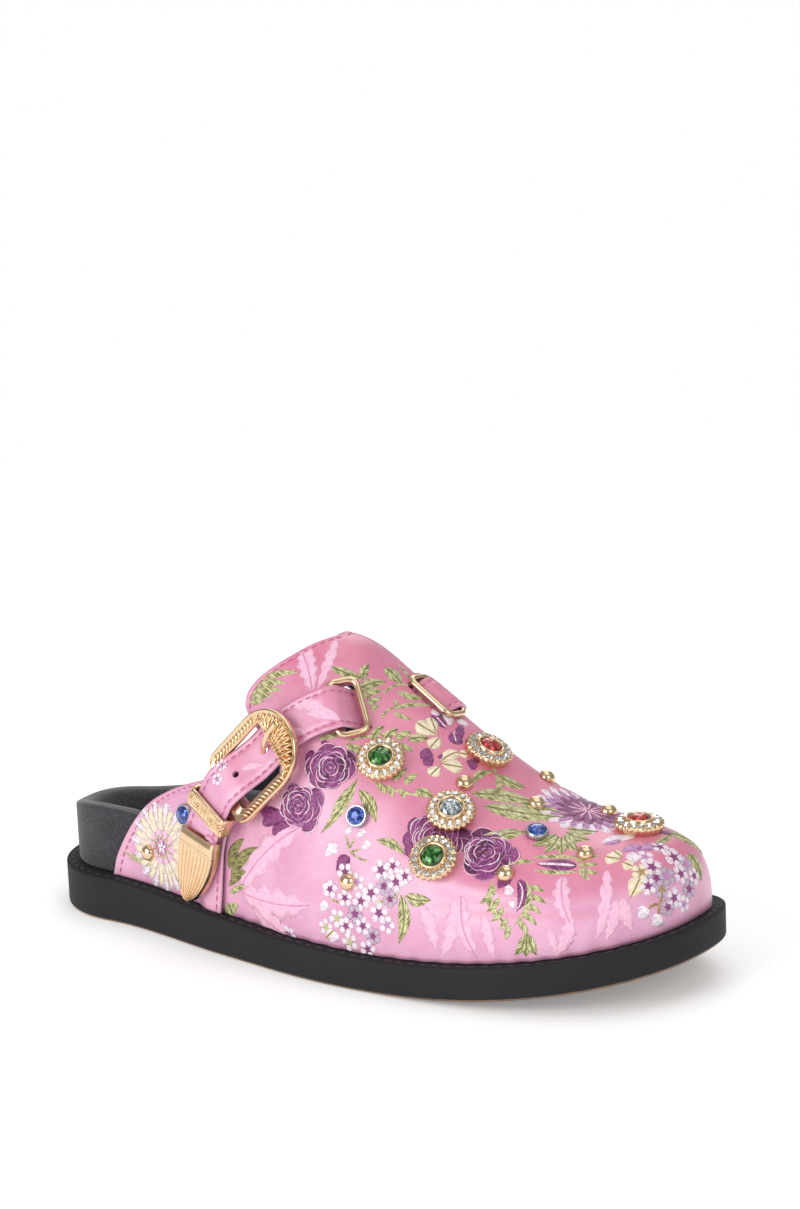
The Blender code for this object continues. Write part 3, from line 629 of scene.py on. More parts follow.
def vamp_station(side, column, height):
    """Station of a column: close steps along the turned edge, then on to the toe."""
    rear = vamp_rear[side](height)
    share = EDGE_COLUMNS / VAMP_COLUMNS
    beyond = np.clip((column - share) / (1 - share), 0.0, 1.0)
    start = rear + EDGE_BAND
    reach = start + (SOLE_LENGTH - start) * np.sin(beyond * math.pi / 2)
    return np.where(column < share, rear + EDGE_BAND * column / share, reach)


def vamp_surface(side):
    def surface(column, row):
        station = vamp_station(side, column, row)
        lift = turned_edge(station - vamp_rear[side](row)) + cloth_lift(side, station, row)
        return lifted(side, station, row, lift)

    return surface


def vamp_spread(side):
    return lambda column, row: (vamp_station(side, column, row), side * (1 - row) * ARC)


FOOT_CORE_HEIGHT = 40.0


def face_outwards(form):
    """Turn an open surface's faces away from the inside of the foot."""
    core = Vector((0.0, 0.0, FOOT_CORE_HEIGHT * MILLIMETRE))
    bmesh.ops.recalc_face_normals(form, faces=form.faces)
    score = sum((face.calc_center_median() - core).dot(face.normal) * face.calc_area() for face in form.faces)
    if score < 0:
        bmesh.ops.reverse_faces(form, faces=form.faces)


# Pink satin brocade: a silk ground whose long floats shine softly across the threads, pale and deeper pink
# in uneven slubs and streaks. Cloth facing upwards is multiplied deeper and warmer: painted shade on the top.
# Its threads are 0.3 mm apart and are drawn at 0.55 mm, so that they show.
THREAD_PITCH = 0.55
WAVE_PERIOD = 2 * math.pi / 20


def satin(name, colour, deep_colour, roughness):
    material, tree, shader = new_material(
        name, colour, roughness, Sheen_Weight=0.3, Sheen_Roughness=0.3, Sheen_Tint=linear("#F9DDF6"),
        Specular_IOR_Level=0.8, Coat_Weight=0.3, Coat_Roughness=0.34)
    chart = add_node(tree, "ShaderNodeUVMap").outputs["UV"]
    coordinates = add_node(tree, "ShaderNodeTexCoord")
    drift = add_node(
        tree, "ShaderNodeTexNoise", {"Scale": per_metre(14.0), "Detail": 3.0},
        {"Vector": coordinates.outputs["Object"]})
    slub = add_node(tree, "ShaderNodeMapping", {"Scale": (0.25, 2.0, 1.0)}, {"Vector": chart})
    slubs = add_node(tree, "ShaderNodeTexNoise", {"Scale": 1.0, "Detail": 3.0}, {"Vector": slub})
    floats = add_node(
        tree, "ShaderNodeTexWave", {"Scale": WAVE_PERIOD / THREAD_PITCH, "Distortion": 0.6, "Detail": 1.0},
        {"Vector": chart}, bands_direction="DIAGONAL")
    fleck = add_node(tree, "ShaderNodeMath", {1: 0.5}, {0: slubs, 2: drift}, operation="MULTIPLY_ADD")
    ramp = add_node(tree, "ShaderNodeMapRange", {"From Min": 0.45, "From Max": 1.05}, {"Value": fleck})
    tone = add_node(
        tree, "ShaderNodeMix", {"A": linear(deep_colour), "B": linear(colour)},
        {"Factor": ramp}, data_type="RGBA")
    # Painted shade: the more the cloth faces upwards, the deeper and warmer its pink
    upward = add_node(tree, "ShaderNodeSeparateXYZ", {}, {"Vector": coordinates.outputs["Normal"]})
    painted_top_shade = add_node(
        tree, "ShaderNodeMapRange", {"From Min": 0.3, "From Max": 0.85}, {"Value": upward.outputs["Z"]})
    top_shaded_tone = add_node(
        tree, "ShaderNodeMix", {"B": linear("#FBC4CB")},
        {"Factor": painted_top_shade, "A": tone},
        data_type="RGBA", blend_type="MULTIPLY")
    height = add_node(
        tree, "ShaderNodeMath", {1: 0.5}, {0: slubs, 2: floats.outputs["Fac"]}, operation="MULTIPLY_ADD")
    bump = add_node(
        tree, "ShaderNodeBump", {"Strength": 0.3, "Distance": 0.06 * MILLIMETRE}, {"Height": height})
    feed(shader, Base_Color=top_shaded_tone, Normal=bump)
    return material


pink_brocade = satin("pink_satin_brocade", "#E2ABC7", "#CF89AB", 0.36)

# Black lining: a soft microfibre with a short nap, seen at the collar and inside the foot
black_lining, tree, shader = new_material("black_microfibre_lining", "#161518", 0.9, Sheen_Weight=0.2)
place = add_node(tree, "ShaderNodeTexCoord").outputs["Object"]
nap = add_node(tree, "ShaderNodeTexNoise", {"Scale": per_metre(0.7), "Detail": 4.0}, {"Vector": place})
bump = add_node(tree, "ShaderNodeBump", {"Strength": 0.4, "Distance": 0.2 * MILLIMETRE}, {"Height": nap})
feed(shader, Normal=bump)

form = bmesh.new()
vamp_places = []
for side in (LATERAL, MEDIAL):
    chart = lay_grid(form, VAMP_COLUMNS, VAMP_ROWS, vamp_surface(side), vamp_spread(side))
    for vertex, (column, row) in chart.items():
        vamp_places.append((vertex.co.copy(), side * (1 - row), float(vamp_station(side, column, row))))
weld(form)
face_outwards(form)
vamp_cloth = BVHTree.FromBMesh(form)
vamp = finish_piece("brocade_vamp", form, [pink_brocade, black_lining], ["upper_vamp"])


def add_wall(piece, thickness, offset, inner, rim):
    """Give a cloth surface its thickness; inner and rim are material steps from the face's own."""
    wall = piece.modifiers.new("wall", "SOLIDIFY")
    wall.thickness = thickness * MILLIMETRE
    wall.offset = offset
    wall.material_offset = inner
    wall.material_offset_rim = rim


add_wall(vamp, VAMP_WALL, -1.0, 1, 0)


# Slots of the vamp: two cuts beside the ridge of the foot, through which the strap goes in and out.
# Each is cut through brocade and lining together, along the strap's route.
# Route of the strap: turn over the foot, station, lift of its middle
STRAP_ROUTE = [
    (-0.812, 87.4, 5.2),
    (-0.752, 92.2, 6.0),
    (-0.726, 94.4, 6.8),
    (-0.690, 97.7, 7.4),
    (-0.660, 101.0, 6.2),
    (-0.630, 104.2, 4.0),
    (-0.600, 107.4, 2.3),
    (-0.565, 110.8, 1.6),
    (-0.535, 113.7, 1.7),
    (-0.500, 117.3, 1.9),
    (-0.446, 123.8, 2.4),
    (-0.410, 128.0, 3.4),
    (-0.376, 131.5, 4.6),
    (-0.345, 133.8, 3.8),
    (-0.315, 136.0, 0.8),
    (-0.285, 138.0, -2.0),
    (-0.255, 139.8, -3.5),
    (-0.210, 143.0, -4.0),
    (-0.130, 148.4, -4.0),
    (-0.070, 151.2, -4.0),
    (-0.032, 152.0, -3.9),
    (0.013, 152.4, -2.2),
    (0.056, 152.5, 0.8),
    (0.100, 152.4, 2.3),
    (0.145, 152.0, 2.7),
    (0.180, 151.5, 2.4),
    (0.220, 150.7, 1.9),
    (0.270, 149.0, 1.9),
    (0.340, 145.5, 2.0),
    (0.450, 137.5, 2.9),
    (0.530, 128.0, 3.0),
    (0.600, 118.5, 3.3),
    (0.690, 105.5, 3.4),
    (0.760, 97.0, 3.4),
]
# Slots: turn over the foot, station
SLOTS = [(-0.290, 137.7), (0.049, 152.3)]
# Size of a slot across the strap, along it and through the upper
SLOT_SIZE = (19.0, 9.0, 9.0)
strap_station = table_curve(STRAP_ROUTE, 1)
strap_lift = table_curve(STRAP_ROUTE, 2)


def unit(vector):
    return vector / np.linalg.norm(vector, axis=-1, keepdims=True)


def surface_axes(turn, station):
    """Axes on the last under the strap: across it, along it from the lateral side, and out of the foot."""
    side = LATERAL if turn <= 0 else MEDIAL
    up = last_normal(side, station, 1 - abs(turn))
    after, before = turn + SMALL_STEP, turn - SMALL_STEP
    drift = (strap_station(after) - strap_station(before)) / 2
    along = over_foot(after, station + drift, 0.0) - over_foot(before, station - drift, 0.0)
    along = unit(along - up * np.dot(along, up))
    return unit(np.cross(along, up)), along, up


def strap_point(turn):
    return over_foot(turn, strap_station(turn), strap_lift(turn))


def strap_axes(turn):
    """Axes of the strap itself at a turn: across, along and out of the foot."""
    turn = np.asarray(turn, float)
    along = unit(strap_point(turn + SMALL_STEP) - strap_point(turn - SMALL_STEP))
    station, height = strap_station(turn), 1 - np.abs(turn)
    near, far = last_normal(LATERAL, station, height), last_normal(MEDIAL, station, height)
    across = unit(np.cross(along, np.where((turn <= 0)[..., None], near, far)))
    return across, along, unit(np.cross(across, along))


def frame_matrix(across, along, up, origin):
    """Matrix whose axes are the three directions, from millimetres to metres in the shoe's frame."""
    rows = [[float(axis[row]) * MILLIMETRE for axis in (across, along, up)] for row in range(3)]
    matrix = Matrix(rows).to_4x4()
    matrix.translation = Vector(origin)
    return matrix


def cut_holes(piece, makers):
    """Cut shapes through a piece and keep the result as its mesh; each maker fills a bmesh."""
    cutters = []
    for number, maker in enumerate(makers):
        form = bmesh.new()
        maker(form)
        mesh = bpy.data.meshes.new(f"cutter_{number}")
        form.to_mesh(mesh)
        form.free()
        cutter = bpy.data.objects.new(mesh.name, mesh)
        bpy.context.scene.collection.objects.link(cutter)
        cut = piece.modifiers.new(mesh.name, "BOOLEAN")
        cut.solver = "EXACT"
        cut.object = cutter
        cutters.append(cutter)
    evaluated = piece.evaluated_get(bpy.context.evaluated_depsgraph_get())
    result = bpy.data.meshes.new_from_object(evaluated)
    piece.modifiers.clear()
    piece.data = result
    for cutter in cutters:
        bpy.data.objects.remove(cutter, do_unlink=True)


def slot_maker(turn, station):
    def make(form):
        matrix = frame_matrix(*surface_axes(turn, station), over_foot(turn, station, 0.0))
        bmesh.ops.create_cube(form, size=1.0, matrix=matrix @ Matrix.Diagonal((*SLOT_SIZE, 1.0)))

    return make


cut_holes(vamp, [slot_maker(*slot) for slot in SLOTS])


# Quarters: two wings of lined brocade that come up from the sole behind the vamp and overlap its rear
# edge. They hold the foot at the sides, and the strap is fixed to them. Their edges are turned in.
QUARTER_WALL = 1.8
OVERLAP_START = 78.0
OVERLAP_END = 86.0
# Rear station, rear height, front station, front height of each section line
QUARTERS = {
    LATERAL: [
        (35.0, 0.000, 92.5, 0.000),
        (37.5, 0.055, 93.5, 0.050),
        (44.3, 0.134, 94.3, 0.106),
        (53.0, 0.200, 94.8, 0.150),
        (64.5, 0.251, 96.5, 0.195),
        (75.0, 0.285, 101.0, 0.235),
        (83.0, 0.310, 106.0, 0.255),
        (90.0, 0.350, 110.0, 0.268),
    ],
    MEDIAL: [
        (48.0, 0.000, 92.5, 0.000),
        (51.0, 0.055, 93.5, 0.050),
        (57.0, 0.110, 94.3, 0.100),
        (64.0, 0.160, 94.8, 0.150),
        (72.0, 0.205, 97.0, 0.200),
        (80.0, 0.250, 101.0, 0.240),
        (88.0, 0.290, 105.0, 0.275),
        (93.0, 0.330, 107.0, 0.300),
    ],
}
QUARTER_COLUMNS = 90
QUARTER_ROWS = 70
# The rear edge slants, so that a step in station is only this much of a step in from the edge
REAR_SLANT = 0.75


def quarter_place(side, column, row):
    """Station and height of a place on a quarter, column from its rear edge and row from the sole."""
    last_row = len(QUARTERS[side]) - 1
    numbered = [(number, *line) for number, line in enumerate(QUARTERS[side])]
    curves = [table_curve(numbered, column_number) for column_number in (1, 2, 3, 4)]
    rear, rear_height, front, front_height = [curve(row * last_row) for curve in curves]
    return rear + (front - rear) * column, rear_height + (front_height - rear_height) * column


def quarter_lift(station):
    """Lift of a quarter's outer face: level with the vamp behind, over the vamp's edge in front."""
    return (QUARTER_WALL + SEAM_GAP) * soft_step(OVERLAP_START, OVERLAP_END, station)


def quarter_surface(side):
    def surface(column, row):
        station, height = quarter_place(side, column, row)
        rear = quarter_place(side, 0.0, row)[0]
        front = quarter_place(side, 1.0, row)[0]
        depth = np.minimum((station - rear) * REAR_SLANT, front - station)
        return lifted(side, station, height, quarter_lift(station) + turned_edge(depth))

    return surface


def quarter_spread(side):
    def spread(column, row):
        station, height = quarter_place(side, column, row)
        return station, side * (1 - height) * ARC

    return spread


quarter_cloths = {}
for side, name, node in (
        (LATERAL, "brocade_quarter_lateral", "upper_quarter_lateral"),
        (MEDIAL, "brocade_quarter_medial", "upper_quarter_medial")):
    form = bmesh.new()
    lay_grid(form, QUARTER_COLUMNS, QUARTER_ROWS, quarter_surface(side), quarter_spread(side))
    face_outwards(form)
    quarter_cloths[side] = BVHTree.FromBMesh(form)
    quarter = finish_piece(name, form, [pink_brocade, black_lining], [node])
    add_wall(quarter, QUARTER_WALL, -1.0, 1, 0)


# Strap: a band of brocade folded round a stiffener, edge-stitched along both sides. It is sewn to the
# medial quarter, dives under the vamp between the two slots and is buckled on the lateral side.
STRAP_WIDTH = 16.4
STRAP_THICKNESS = 1.8
STRAP_COLUMNS = 320
STRAP_ROWS = 24
# Turns over the foot of the prong's hole and of the spare one
HOLES = [-0.563, -0.648]
HOLE_DIAMETER = 2.4
HOLE_DEPTH = 6.0
HOLE_SIDES = 24


def strap_surface(column, row):
    turn = STRAP_ROUTE[0][0] + (STRAP_ROUTE[-1][0] - STRAP_ROUTE[0][0]) * column
    across, along, up = strap_axes(turn)
    offset = (row - 0.5) * STRAP_WIDTH
    depth = STRAP_WIDTH / 2 - np.abs(offset)
    lift = STRAP_THICKNESS / 2 + turned_edge(depth)
    return strap_point(turn) + (across * offset[:, None] + up * lift[:, None]) * MILLIMETRE


def strap_spread(column, row):
    return column * 2 * ARC, row * STRAP_WIDTH


def hole_maker(turn):
    def make(form):
        matrix = frame_matrix(*strap_axes(turn), strap_point(turn))
        bmesh.ops.create_cone(
            form, cap_ends=True, segments=HOLE_SIDES, radius1=HOLE_DIAMETER / 2, radius2=HOLE_DIAMETER / 2,
            depth=HOLE_DEPTH, matrix=matrix)

    return make


form = bmesh.new()
lay_grid(form, STRAP_COLUMNS, STRAP_ROWS, strap_surface, strap_spread)
bmesh.ops.recalc_face_normals(form, faces=form.faces)
if sum(face.normal.z * face.calc_area() for face in form.faces) < 0:
    bmesh.ops.reverse_faces(form, faces=form.faces)
strap_cloth = BVHTree.FromBMesh(form)
strap = finish_piece("brocade_strap", form, [pink_brocade], ["strap"])
add_wall(strap, STRAP_THICKNESS, -1.0, 0, 0)
cut_holes(strap, [hole_maker(turn) for turn in HOLES])

# A disc of the black lining cloth behind the strap's spare hole: painted shade where the hole would show the
# floor
SHADE_DISC = 4.0
SHADE_DISC_THICKNESS = 0.3
SHADE_DISC_GAP = 0.1
SHADE_DISC_SIDES = 32
form = bmesh.new()
axes = strap_axes(HOLES[1])
under = strap_point(HOLES[1]) - axes[2] * (STRAP_THICKNESS / 2 + SHADE_DISC_GAP) * MILLIMETRE
bmesh.ops.create_circle(
    form, cap_ends=True, segments=SHADE_DISC_SIDES, radius=SHADE_DISC / 2, matrix=frame_matrix(*axes, under))
hole_shade_disc = finish_piece("hole_shade_disc", form, [black_lining])
add_wall(hole_shade_disc, SHADE_DISC_THICKNESS, -1.0, 0, 0)


# Edge stitching: silk thread a shade deeper than the cloth, along the collar, the wings and both sides
# of the strap. It holds the turned-in edges down, in the trough that it pulls into the cloth.
EDGE_STITCH = 2.3
EDGE_GAP = 0.9
EDGE_THREAD = 0.7
EDGE_THREAD_RISE = 0.28
THREAD_SEAT = 0.12
# Heights where the collar's seam runs, rows of a wing where its seams run, points along each seam
COLLAR_SEAM = (0.46, 1.0)
WING_SEAM = (0.02, 0.97)
COLLAR_SAMPLES = 160
WING_SAMPLES = 120
STRAP_SAMPLES = 500

# Rose silk thread: a soft shine, its shade changing along the twist
rose_thread, tree, shader = new_material("rose_silk_thread", "#BF5F88", 0.5, Sheen_Weight=0.3)
place = add_node(tree, "ShaderNodeTexCoord").outputs["Object"]
strands = add_node(tree, "ShaderNodeTexNoise", {"Scale": per_metre(1.2), "Detail": 2.0}, {"Vector": place})
tone = add_node(
    tree, "ShaderNodeMix", {"A": linear("#AC4F76"), "B": linear("#CC7599")},
    {"Factor": strands}, data_type="RGBA")
feed(shader, Base_Color=tone)


def sew_edge(form, path, ups):
    stitch_line(form, path, ups, EDGE_STITCH, EDGE_GAP, EDGE_THREAD, EDGE_THREAD_RISE)


form = bmesh.new()
for side in (LATERAL, MEDIAL):
    height = np.linspace(*COLLAR_SEAM, COLLAR_SAMPLES)
    station = vamp_rear[side](height) + SEAM_INSET
    seat = lifted(side, station, height, THREAD_SEAT - SEAM_TROUGH)
    sew_edge(form, seat, last_normal(side, station, height))
    for column, inset in ((0.0, SEAM_INSET / REAR_SLANT), (1.0, -SEAM_INSET)):
        row = np.linspace(*WING_SEAM, WING_SAMPLES)
        station, height = quarter_place(side, column, row)
        station = station + inset
        lift = quarter_lift(station) + THREAD_SEAT - SEAM_TROUGH
        sew_edge(form, lifted(side, station, height, lift), last_normal(side, station, height))
turn = np.linspace(STRAP_ROUTE[0][0], STRAP_ROUTE[-1][0], STRAP_SAMPLES)
across, along, up = strap_axes(turn)
for edge in (-1, 1):
    offset = edge * (STRAP_WIDTH / 2 - SEAM_INSET)
    lift = STRAP_THICKNESS / 2 + THREAD_SEAT - SEAM_TROUGH
    sew_edge(form, strap_point(turn) + (across * offset + up * lift) * MILLIMETRE, up)
finish_piece("edge_stitching", form, [rose_thread])


# Rings: two loops of round wire bent to a rectangle with soft corners, soldered and gold plated. They sit
# over the slots of the vamp and the strap goes through them.

# Gold plate on a polished casting: a mirror with fine polishing marks and a little warmth in patches
plated_gold, tree, shader = new_material("polished_gold_plate", "#EBCDA6", 0.16, Metallic=1.0)
place = add_node(tree, "ShaderNodeTexCoord").outputs["Object"]
wear = add_node(tree, "ShaderNodeTexNoise", {"Scale": per_metre(5.0), "Detail": 4.0}, {"Vector": place})
gloss = add_node(tree, "ShaderNodeMapRange", {"To Min": 0.10, "To Max": 0.26}, {"Value": wear})
tone = add_node(
    tree, "ShaderNodeMix", {"A": linear("#E3BF93"), "B": linear("#F4DCBA")},
    {"Factor": wear}, data_type="RGBA")
feed(shader, Roughness=gloss, Base_Color=tone)

# Rings: turn over the foot, station
RINGS = {"ring_lateral": (-0.312, 136.3), "ring_medial": (0.080, 152.4)}
RING_LIFT = 1.4
RING_ACROSS = 20.2
RING_ALONG = 10.6
RING_CORNER = 3.2
WIRE_RADIUS = 1.15
RING_COLUMNS = 150
WIRE_ROWS = 16
LOOP_STEP = 0.003


def rounded_rectangle(width, length, corner, steps=10):
    """Outline points of a rectangle with round corners, centred on the origin."""
    points = []
    for quarter_turn, (sign_x, sign_y) in enumerate(((1, 1), (-1, 1), (-1, -1), (1, -1))):
        for angle in (quarter_turn + np.linspace(0, 1, steps + 1)) * math.pi / 2:
            points.append((
                sign_x * (width / 2 - corner) + corner * math.cos(angle),
                sign_y * (length / 2 - corner) + corner * math.sin(angle)))
    return np.array(points)


def along_loop(points, part):
    """Place on a closed outline, part of the way round from its first point."""
    closed = np.vstack([points, points[:1]])
    run = np.concatenate([[0.0], np.cumsum(np.linalg.norm(np.diff(closed, axis=0), axis=1))])
    at = np.mod(part, 1.0) * run[-1]
    return np.stack([np.interp(at, run, closed[:, 0]), np.interp(at, run, closed[:, 1])], -1)


def placed(local, matrix):
    """Points of a piece's own frame, in millimetres, moved to the shoe's frame."""
    axes = np.array(matrix.to_3x3())
    return local @ axes.T + np.array(matrix.translation)


def sweep_loop(form, outline, section, columns, rows, matrix):
    """Sweep a section round a closed outline; section gives the offsets outwards and up, in millimetres."""
    def surface(column, row):
        place = along_loop(outline, column)
        run = unit(along_loop(outline, column + LOOP_STEP) - along_loop(outline, column - LOOP_STEP))
        outward, rise = section(column, row)
        local = np.stack([place[:, 0] + run[:, 1] * outward, place[:, 1] - run[:, 0] * outward, rise], -1)
        return placed(local, matrix)

    lay_grid(form, columns, rows, surface)
    weld(form)


def round_wire(column, row):
    return WIRE_RADIUS * np.cos(row * 2 * math.pi), WIRE_RADIUS * np.sin(row * 2 * math.pi)


for name, (turn, station) in RINGS.items():
    form = bmesh.new()
    matrix = frame_matrix(*surface_axes(turn, station), over_foot(turn, station, RING_LIFT))
    outline = rounded_rectangle(RING_ACROSS, RING_ALONG, RING_CORNER)
    sweep_loop(form, outline, round_wire, RING_COLUMNS, WIRE_ROWS, matrix)
    finish_piece(f"gold_{name}", form, [plated_gold], [name])


# Buckle: a cast horseshoe with a broad round end, two arms and a bar under the strap, gold plated. A plain
# rim runs round its outside; inside it the arms carry slanted ribs and the broad end a crossed lattice.
# Its two ends: station, height on the last, lift
BUCKLE_TOP = (121.8, 0.508, 6.9)
BUCKLE_BAR = (98.1, 0.305, 4.3)
BUCKLE_RADIUS = 12.6
BUCKLE_ARM = 12.3
BUCKLE_CORNER = 2.5
CORNER_CUT = 0.7
BUCKLE_COLUMNS = 180
FRAME_HALF = 2.4
FRAME_BASE = -1.3
FIELD_RISE = 0.75
OPENING_HALF = 10.2
OPENING_TOP = 4.4
LEAST_OFFSET = 1e-6
RIM = 1.5
RIB_STEP = 1.75
RIB_THICK = 1.15
RIB_RISE = 0.75
RIB_SLANT = 1.1
RIB_START = 2.2
RIB_OVERRUN = 2.0
# Ribs run a little under the rim and over the edge of the opening
RIB_UNDER_RIM = 0.3
RIB_PAST_OPENING = 0.1
# Lattice of the broad end: angles in radians, sizes in millimetres
LATTICE_STEP = 0.17
LATTICE_START = 0.28
LATTICE_END_GAP = 0.2
LATTICE_OUTER_LEAN = 0.16
LATTICE_INNER_LEAN = 0.10
LATTICE_UNDER_RIM = 0.2
LATTICE_INSET = 0.5
LATTICE_THICK = 0.9
# Row of beads along the straight end of the opening
BEAD_SPAN = 9.4
BEAD_STEP = 1.45
BEAD_LENGTH = 1.3
BEAD_THICK = 1.1
BEAD_RISE = 0.9
BEAD_INSET = 0.35
# Section of the frame: from the outer edge (0) or the inner edge (1), distance in from it, height
FRAME_SECTION = [
    (0, 0.0, -0.6), (0, 0.0, 0.5), (0, 0.2, 1.15), (0, 0.65, 1.4), (0, 1.1, 1.2), (0, RIM, FIELD_RISE),
    (1, 0.45, FIELD_RISE), (1, 0.12, 0.6), (1, 0.0, 0.3), (1, 0.0, -0.6),
    (1, 0.5, FRAME_BASE), (0, 0.5, FRAME_BASE), (0, 0.0, -0.6),
]
top = lifted(LATERAL, *BUCKLE_TOP)
bar = lifted(LATERAL, *BUCKLE_BAR)
buckle_length = np.linalg.norm(top - bar) / MILLIMETRE
along = unit(top - bar)
rough_up = last_normal(LATERAL, *BUCKLE_TOP[:2]) + last_normal(LATERAL, *BUCKLE_BAR[:2])
across = unit(np.cross(along, rough_up))
buckle_matrix = frame_matrix(across, along, np.cross(across, along), bar)
buckle_centre = buckle_length - BUCKLE_RADIUS
half_turn = np.linspace(0, math.pi, 40)
horseshoe = np.vstack([
    np.stack([BUCKLE_RADIUS * np.cos(half_turn), buckle_centre + BUCKLE_RADIUS * np.sin(half_turn)], -1),
    [(-BUCKLE_ARM, BUCKLE_CORNER), (CORNER_CUT - BUCKLE_ARM, CORNER_CUT), (BUCKLE_CORNER - BUCKLE_ARM, 0.0)],
    [(BUCKLE_ARM - BUCKLE_CORNER, 0.0), (BUCKLE_ARM - CORNER_CUT, CORNER_CUT), (BUCKLE_ARM, BUCKLE_CORNER)],
])


def opening_depth(place):
    """Distance from the frame's middle line in to the opening, whose end is straight across."""
    aside = np.maximum(np.abs(place[..., 0]), LEAST_OFFSET)
    over = place[..., 1] - buckle_centre
    radius = np.maximum(np.hypot(place[..., 0], over), LEAST_OFFSET)
    reach = np.minimum(OPENING_HALF / aside, OPENING_TOP / np.maximum(over, LEAST_OFFSET))
    return np.where(over > 0, BUCKLE_RADIUS - radius * np.minimum(reach, 1.0), FRAME_HALF)


def frame_section(column, row):
    number = np.round(row * (len(FRAME_SECTION) - 1)).astype(int)
    inner = np.array([corner[0] for corner in FRAME_SECTION])[number]
    distance = np.array([corner[1] for corner in FRAME_SECTION])[number]
    rise = np.array([corner[2] for corner in FRAME_SECTION])[number]
    depth = opening_depth(along_loop(horseshoe, column))
    return np.where(inner == 1, distance - depth, FRAME_HALF - distance), rise


def lay_rib(form, start, end, thickness, rise, matrix):
    """Cast rib between two places of a piece's own frame."""
    ends = placed(np.array([start, end]), matrix)
    lay_stitch(form, ends[0], ends[1], np.array(matrix.to_3x3())[:, 2], thickness, rise)


form = bmesh.new()
sweep_loop(form, horseshoe, frame_section, BUCKLE_COLUMNS, len(FRAME_SECTION) - 1, buckle_matrix)
for arm in (-1, 1):
    for y in np.arange(RIB_START, buckle_centre + RIB_OVERRUN, RIB_STEP):
        outer = (arm * (BUCKLE_ARM + FRAME_HALF - RIM + RIB_UNDER_RIM), y + RIB_SLANT, FIELD_RISE)
        inner = (arm * (OPENING_HALF + RIB_PAST_OPENING), y - RIB_SLANT, FIELD_RISE)
        lay_rib(form, outer, inner, RIB_THICK, RIB_RISE, buckle_matrix)
outer_radius = BUCKLE_RADIUS + FRAME_HALF - RIM + LATTICE_UNDER_RIM
for slant in (-1, 1):
    for angle in np.arange(LATTICE_START, math.pi - LATTICE_END_GAP, LATTICE_STEP):
        outer_angle = angle + slant * LATTICE_OUTER_LEAN
        inner_angle = angle - slant * LATTICE_INNER_LEAN
        edge_radius = min(OPENING_HALF / abs(math.cos(inner_angle)), OPENING_TOP / math.sin(inner_angle))
        ends = [
            (radius * math.cos(turn), buckle_centre + radius * math.sin(turn), FIELD_RISE)
            for turn, radius in ((outer_angle, outer_radius), (inner_angle, edge_radius + LATTICE_INSET))]
        lay_rib(form, ends[0], ends[1], LATTICE_THICK, RIB_RISE, buckle_matrix)
bead_y = buckle_centre + OPENING_TOP + BEAD_INSET
for x in np.arange(-BEAD_SPAN, BEAD_SPAN + BEAD_STEP / 2, BEAD_STEP):
    ends = (x, bead_y, FIELD_RISE), (x + BEAD_LENGTH, bead_y, FIELD_RISE)
    lay_rib(form, *ends, BEAD_THICK, BEAD_RISE, buckle_matrix)
finish_piece("gold_buckle", form, [plated_gold], ["buckle"])


# Prong: a tongue of gold-plated wire that turns on the bar, comes up through the strap's hole and rests on
# the buckle's broad end, a little thicker towards its end.
# Turn over the foot, lift
PRONG_ROUTE = [
    (-0.673, 3.9), (-0.648, 2.7), (-0.620, 0.9), (-0.602, 0.2), (-0.586, 0.7), (-0.571, 2.3),
    (-0.556, 4.3), (-0.535, 6.4), (-0.511, 8.3), (-0.486, 9.9),
]
PRONG_ROOT = 0.95
PRONG_END = 1.15
PRONG_FLATNESS = 0.8
PRONG_STEP = 0.05
PRONG_COLUMNS = 44
PRONG_ROWS = 12
prong_turns, prong_lifts = np.array(PRONG_ROUTE).T
prong_places = over_foot(prong_turns, strap_station(prong_turns), prong_lifts)
prong_rows = [(number, *place) for number, place in enumerate(prong_places)]
prong_curves = [table_curve(prong_rows, axis) for axis in (1, 2, 3)]


def prong_surface(column, row):
    last_row = len(prong_rows) - 1
    part = np.clip((column * PRONG_COLUMNS - 1) / (PRONG_COLUMNS - 2), 0.0, 1.0) * last_row
    middle = np.stack([curve(part) for curve in prong_curves], -1)
    ahead = np.stack([curve(np.minimum(part + PRONG_STEP, last_row)) for curve in prong_curves], -1)
    behind = np.stack([curve(np.maximum(part - PRONG_STEP, 0)) for curve in prong_curves], -1)
    run = unit(ahead - behind)
    sideways = unit(np.cross(run, np.array(buckle_matrix.to_3x3())[:, 2]))
    over = np.cross(sideways, run)
    radius = (PRONG_ROOT + (PRONG_END - PRONG_ROOT) * column) * MILLIMETRE
    radius = np.where((column <= 0) | (column >= 1), 0.0, radius)
    angle = row * 2 * math.pi
    aside, above = np.cos(angle)[:, None], np.sin(angle)[:, None] * PRONG_FLATNESS
    return middle + (sideways * aside + over * above) * radius[:, None]


form = bmesh.new()
lay_grid(form, PRONG_COLUMNS, PRONG_ROWS, prong_surface)
weld(form)
finish_piece("gold_prong", form, [plated_gold], ["prong"])


# Keeper: a cast loop, gold plated, that holds the end of the strap down. Its front is cushioned and carries
# small flowers and leaves in relief between plain borders.
KEEPER_TURN = -0.752
KEEPER_BAND = 7.0
KEEPER_WALL = 1.4
KEEPER_PLAY = 0.9
KEEPER_CORNER = 1.5
KEEPER_CUSHION = 0.35
CUSHION_POWER = 4
KEEPER_COLUMNS = 120
KEEPER_ROWS = 14
keeper_width = STRAP_WIDTH + KEEPER_PLAY + 2 * KEEPER_WALL
keeper_height = STRAP_THICKNESS + KEEPER_PLAY + 2 * KEEPER_WALL
keeper_matrix = frame_matrix(*strap_axes(KEEPER_TURN), strap_point(KEEPER_TURN))
keeper_outline = rounded_rectangle(keeper_width, keeper_height, KEEPER_CORNER)


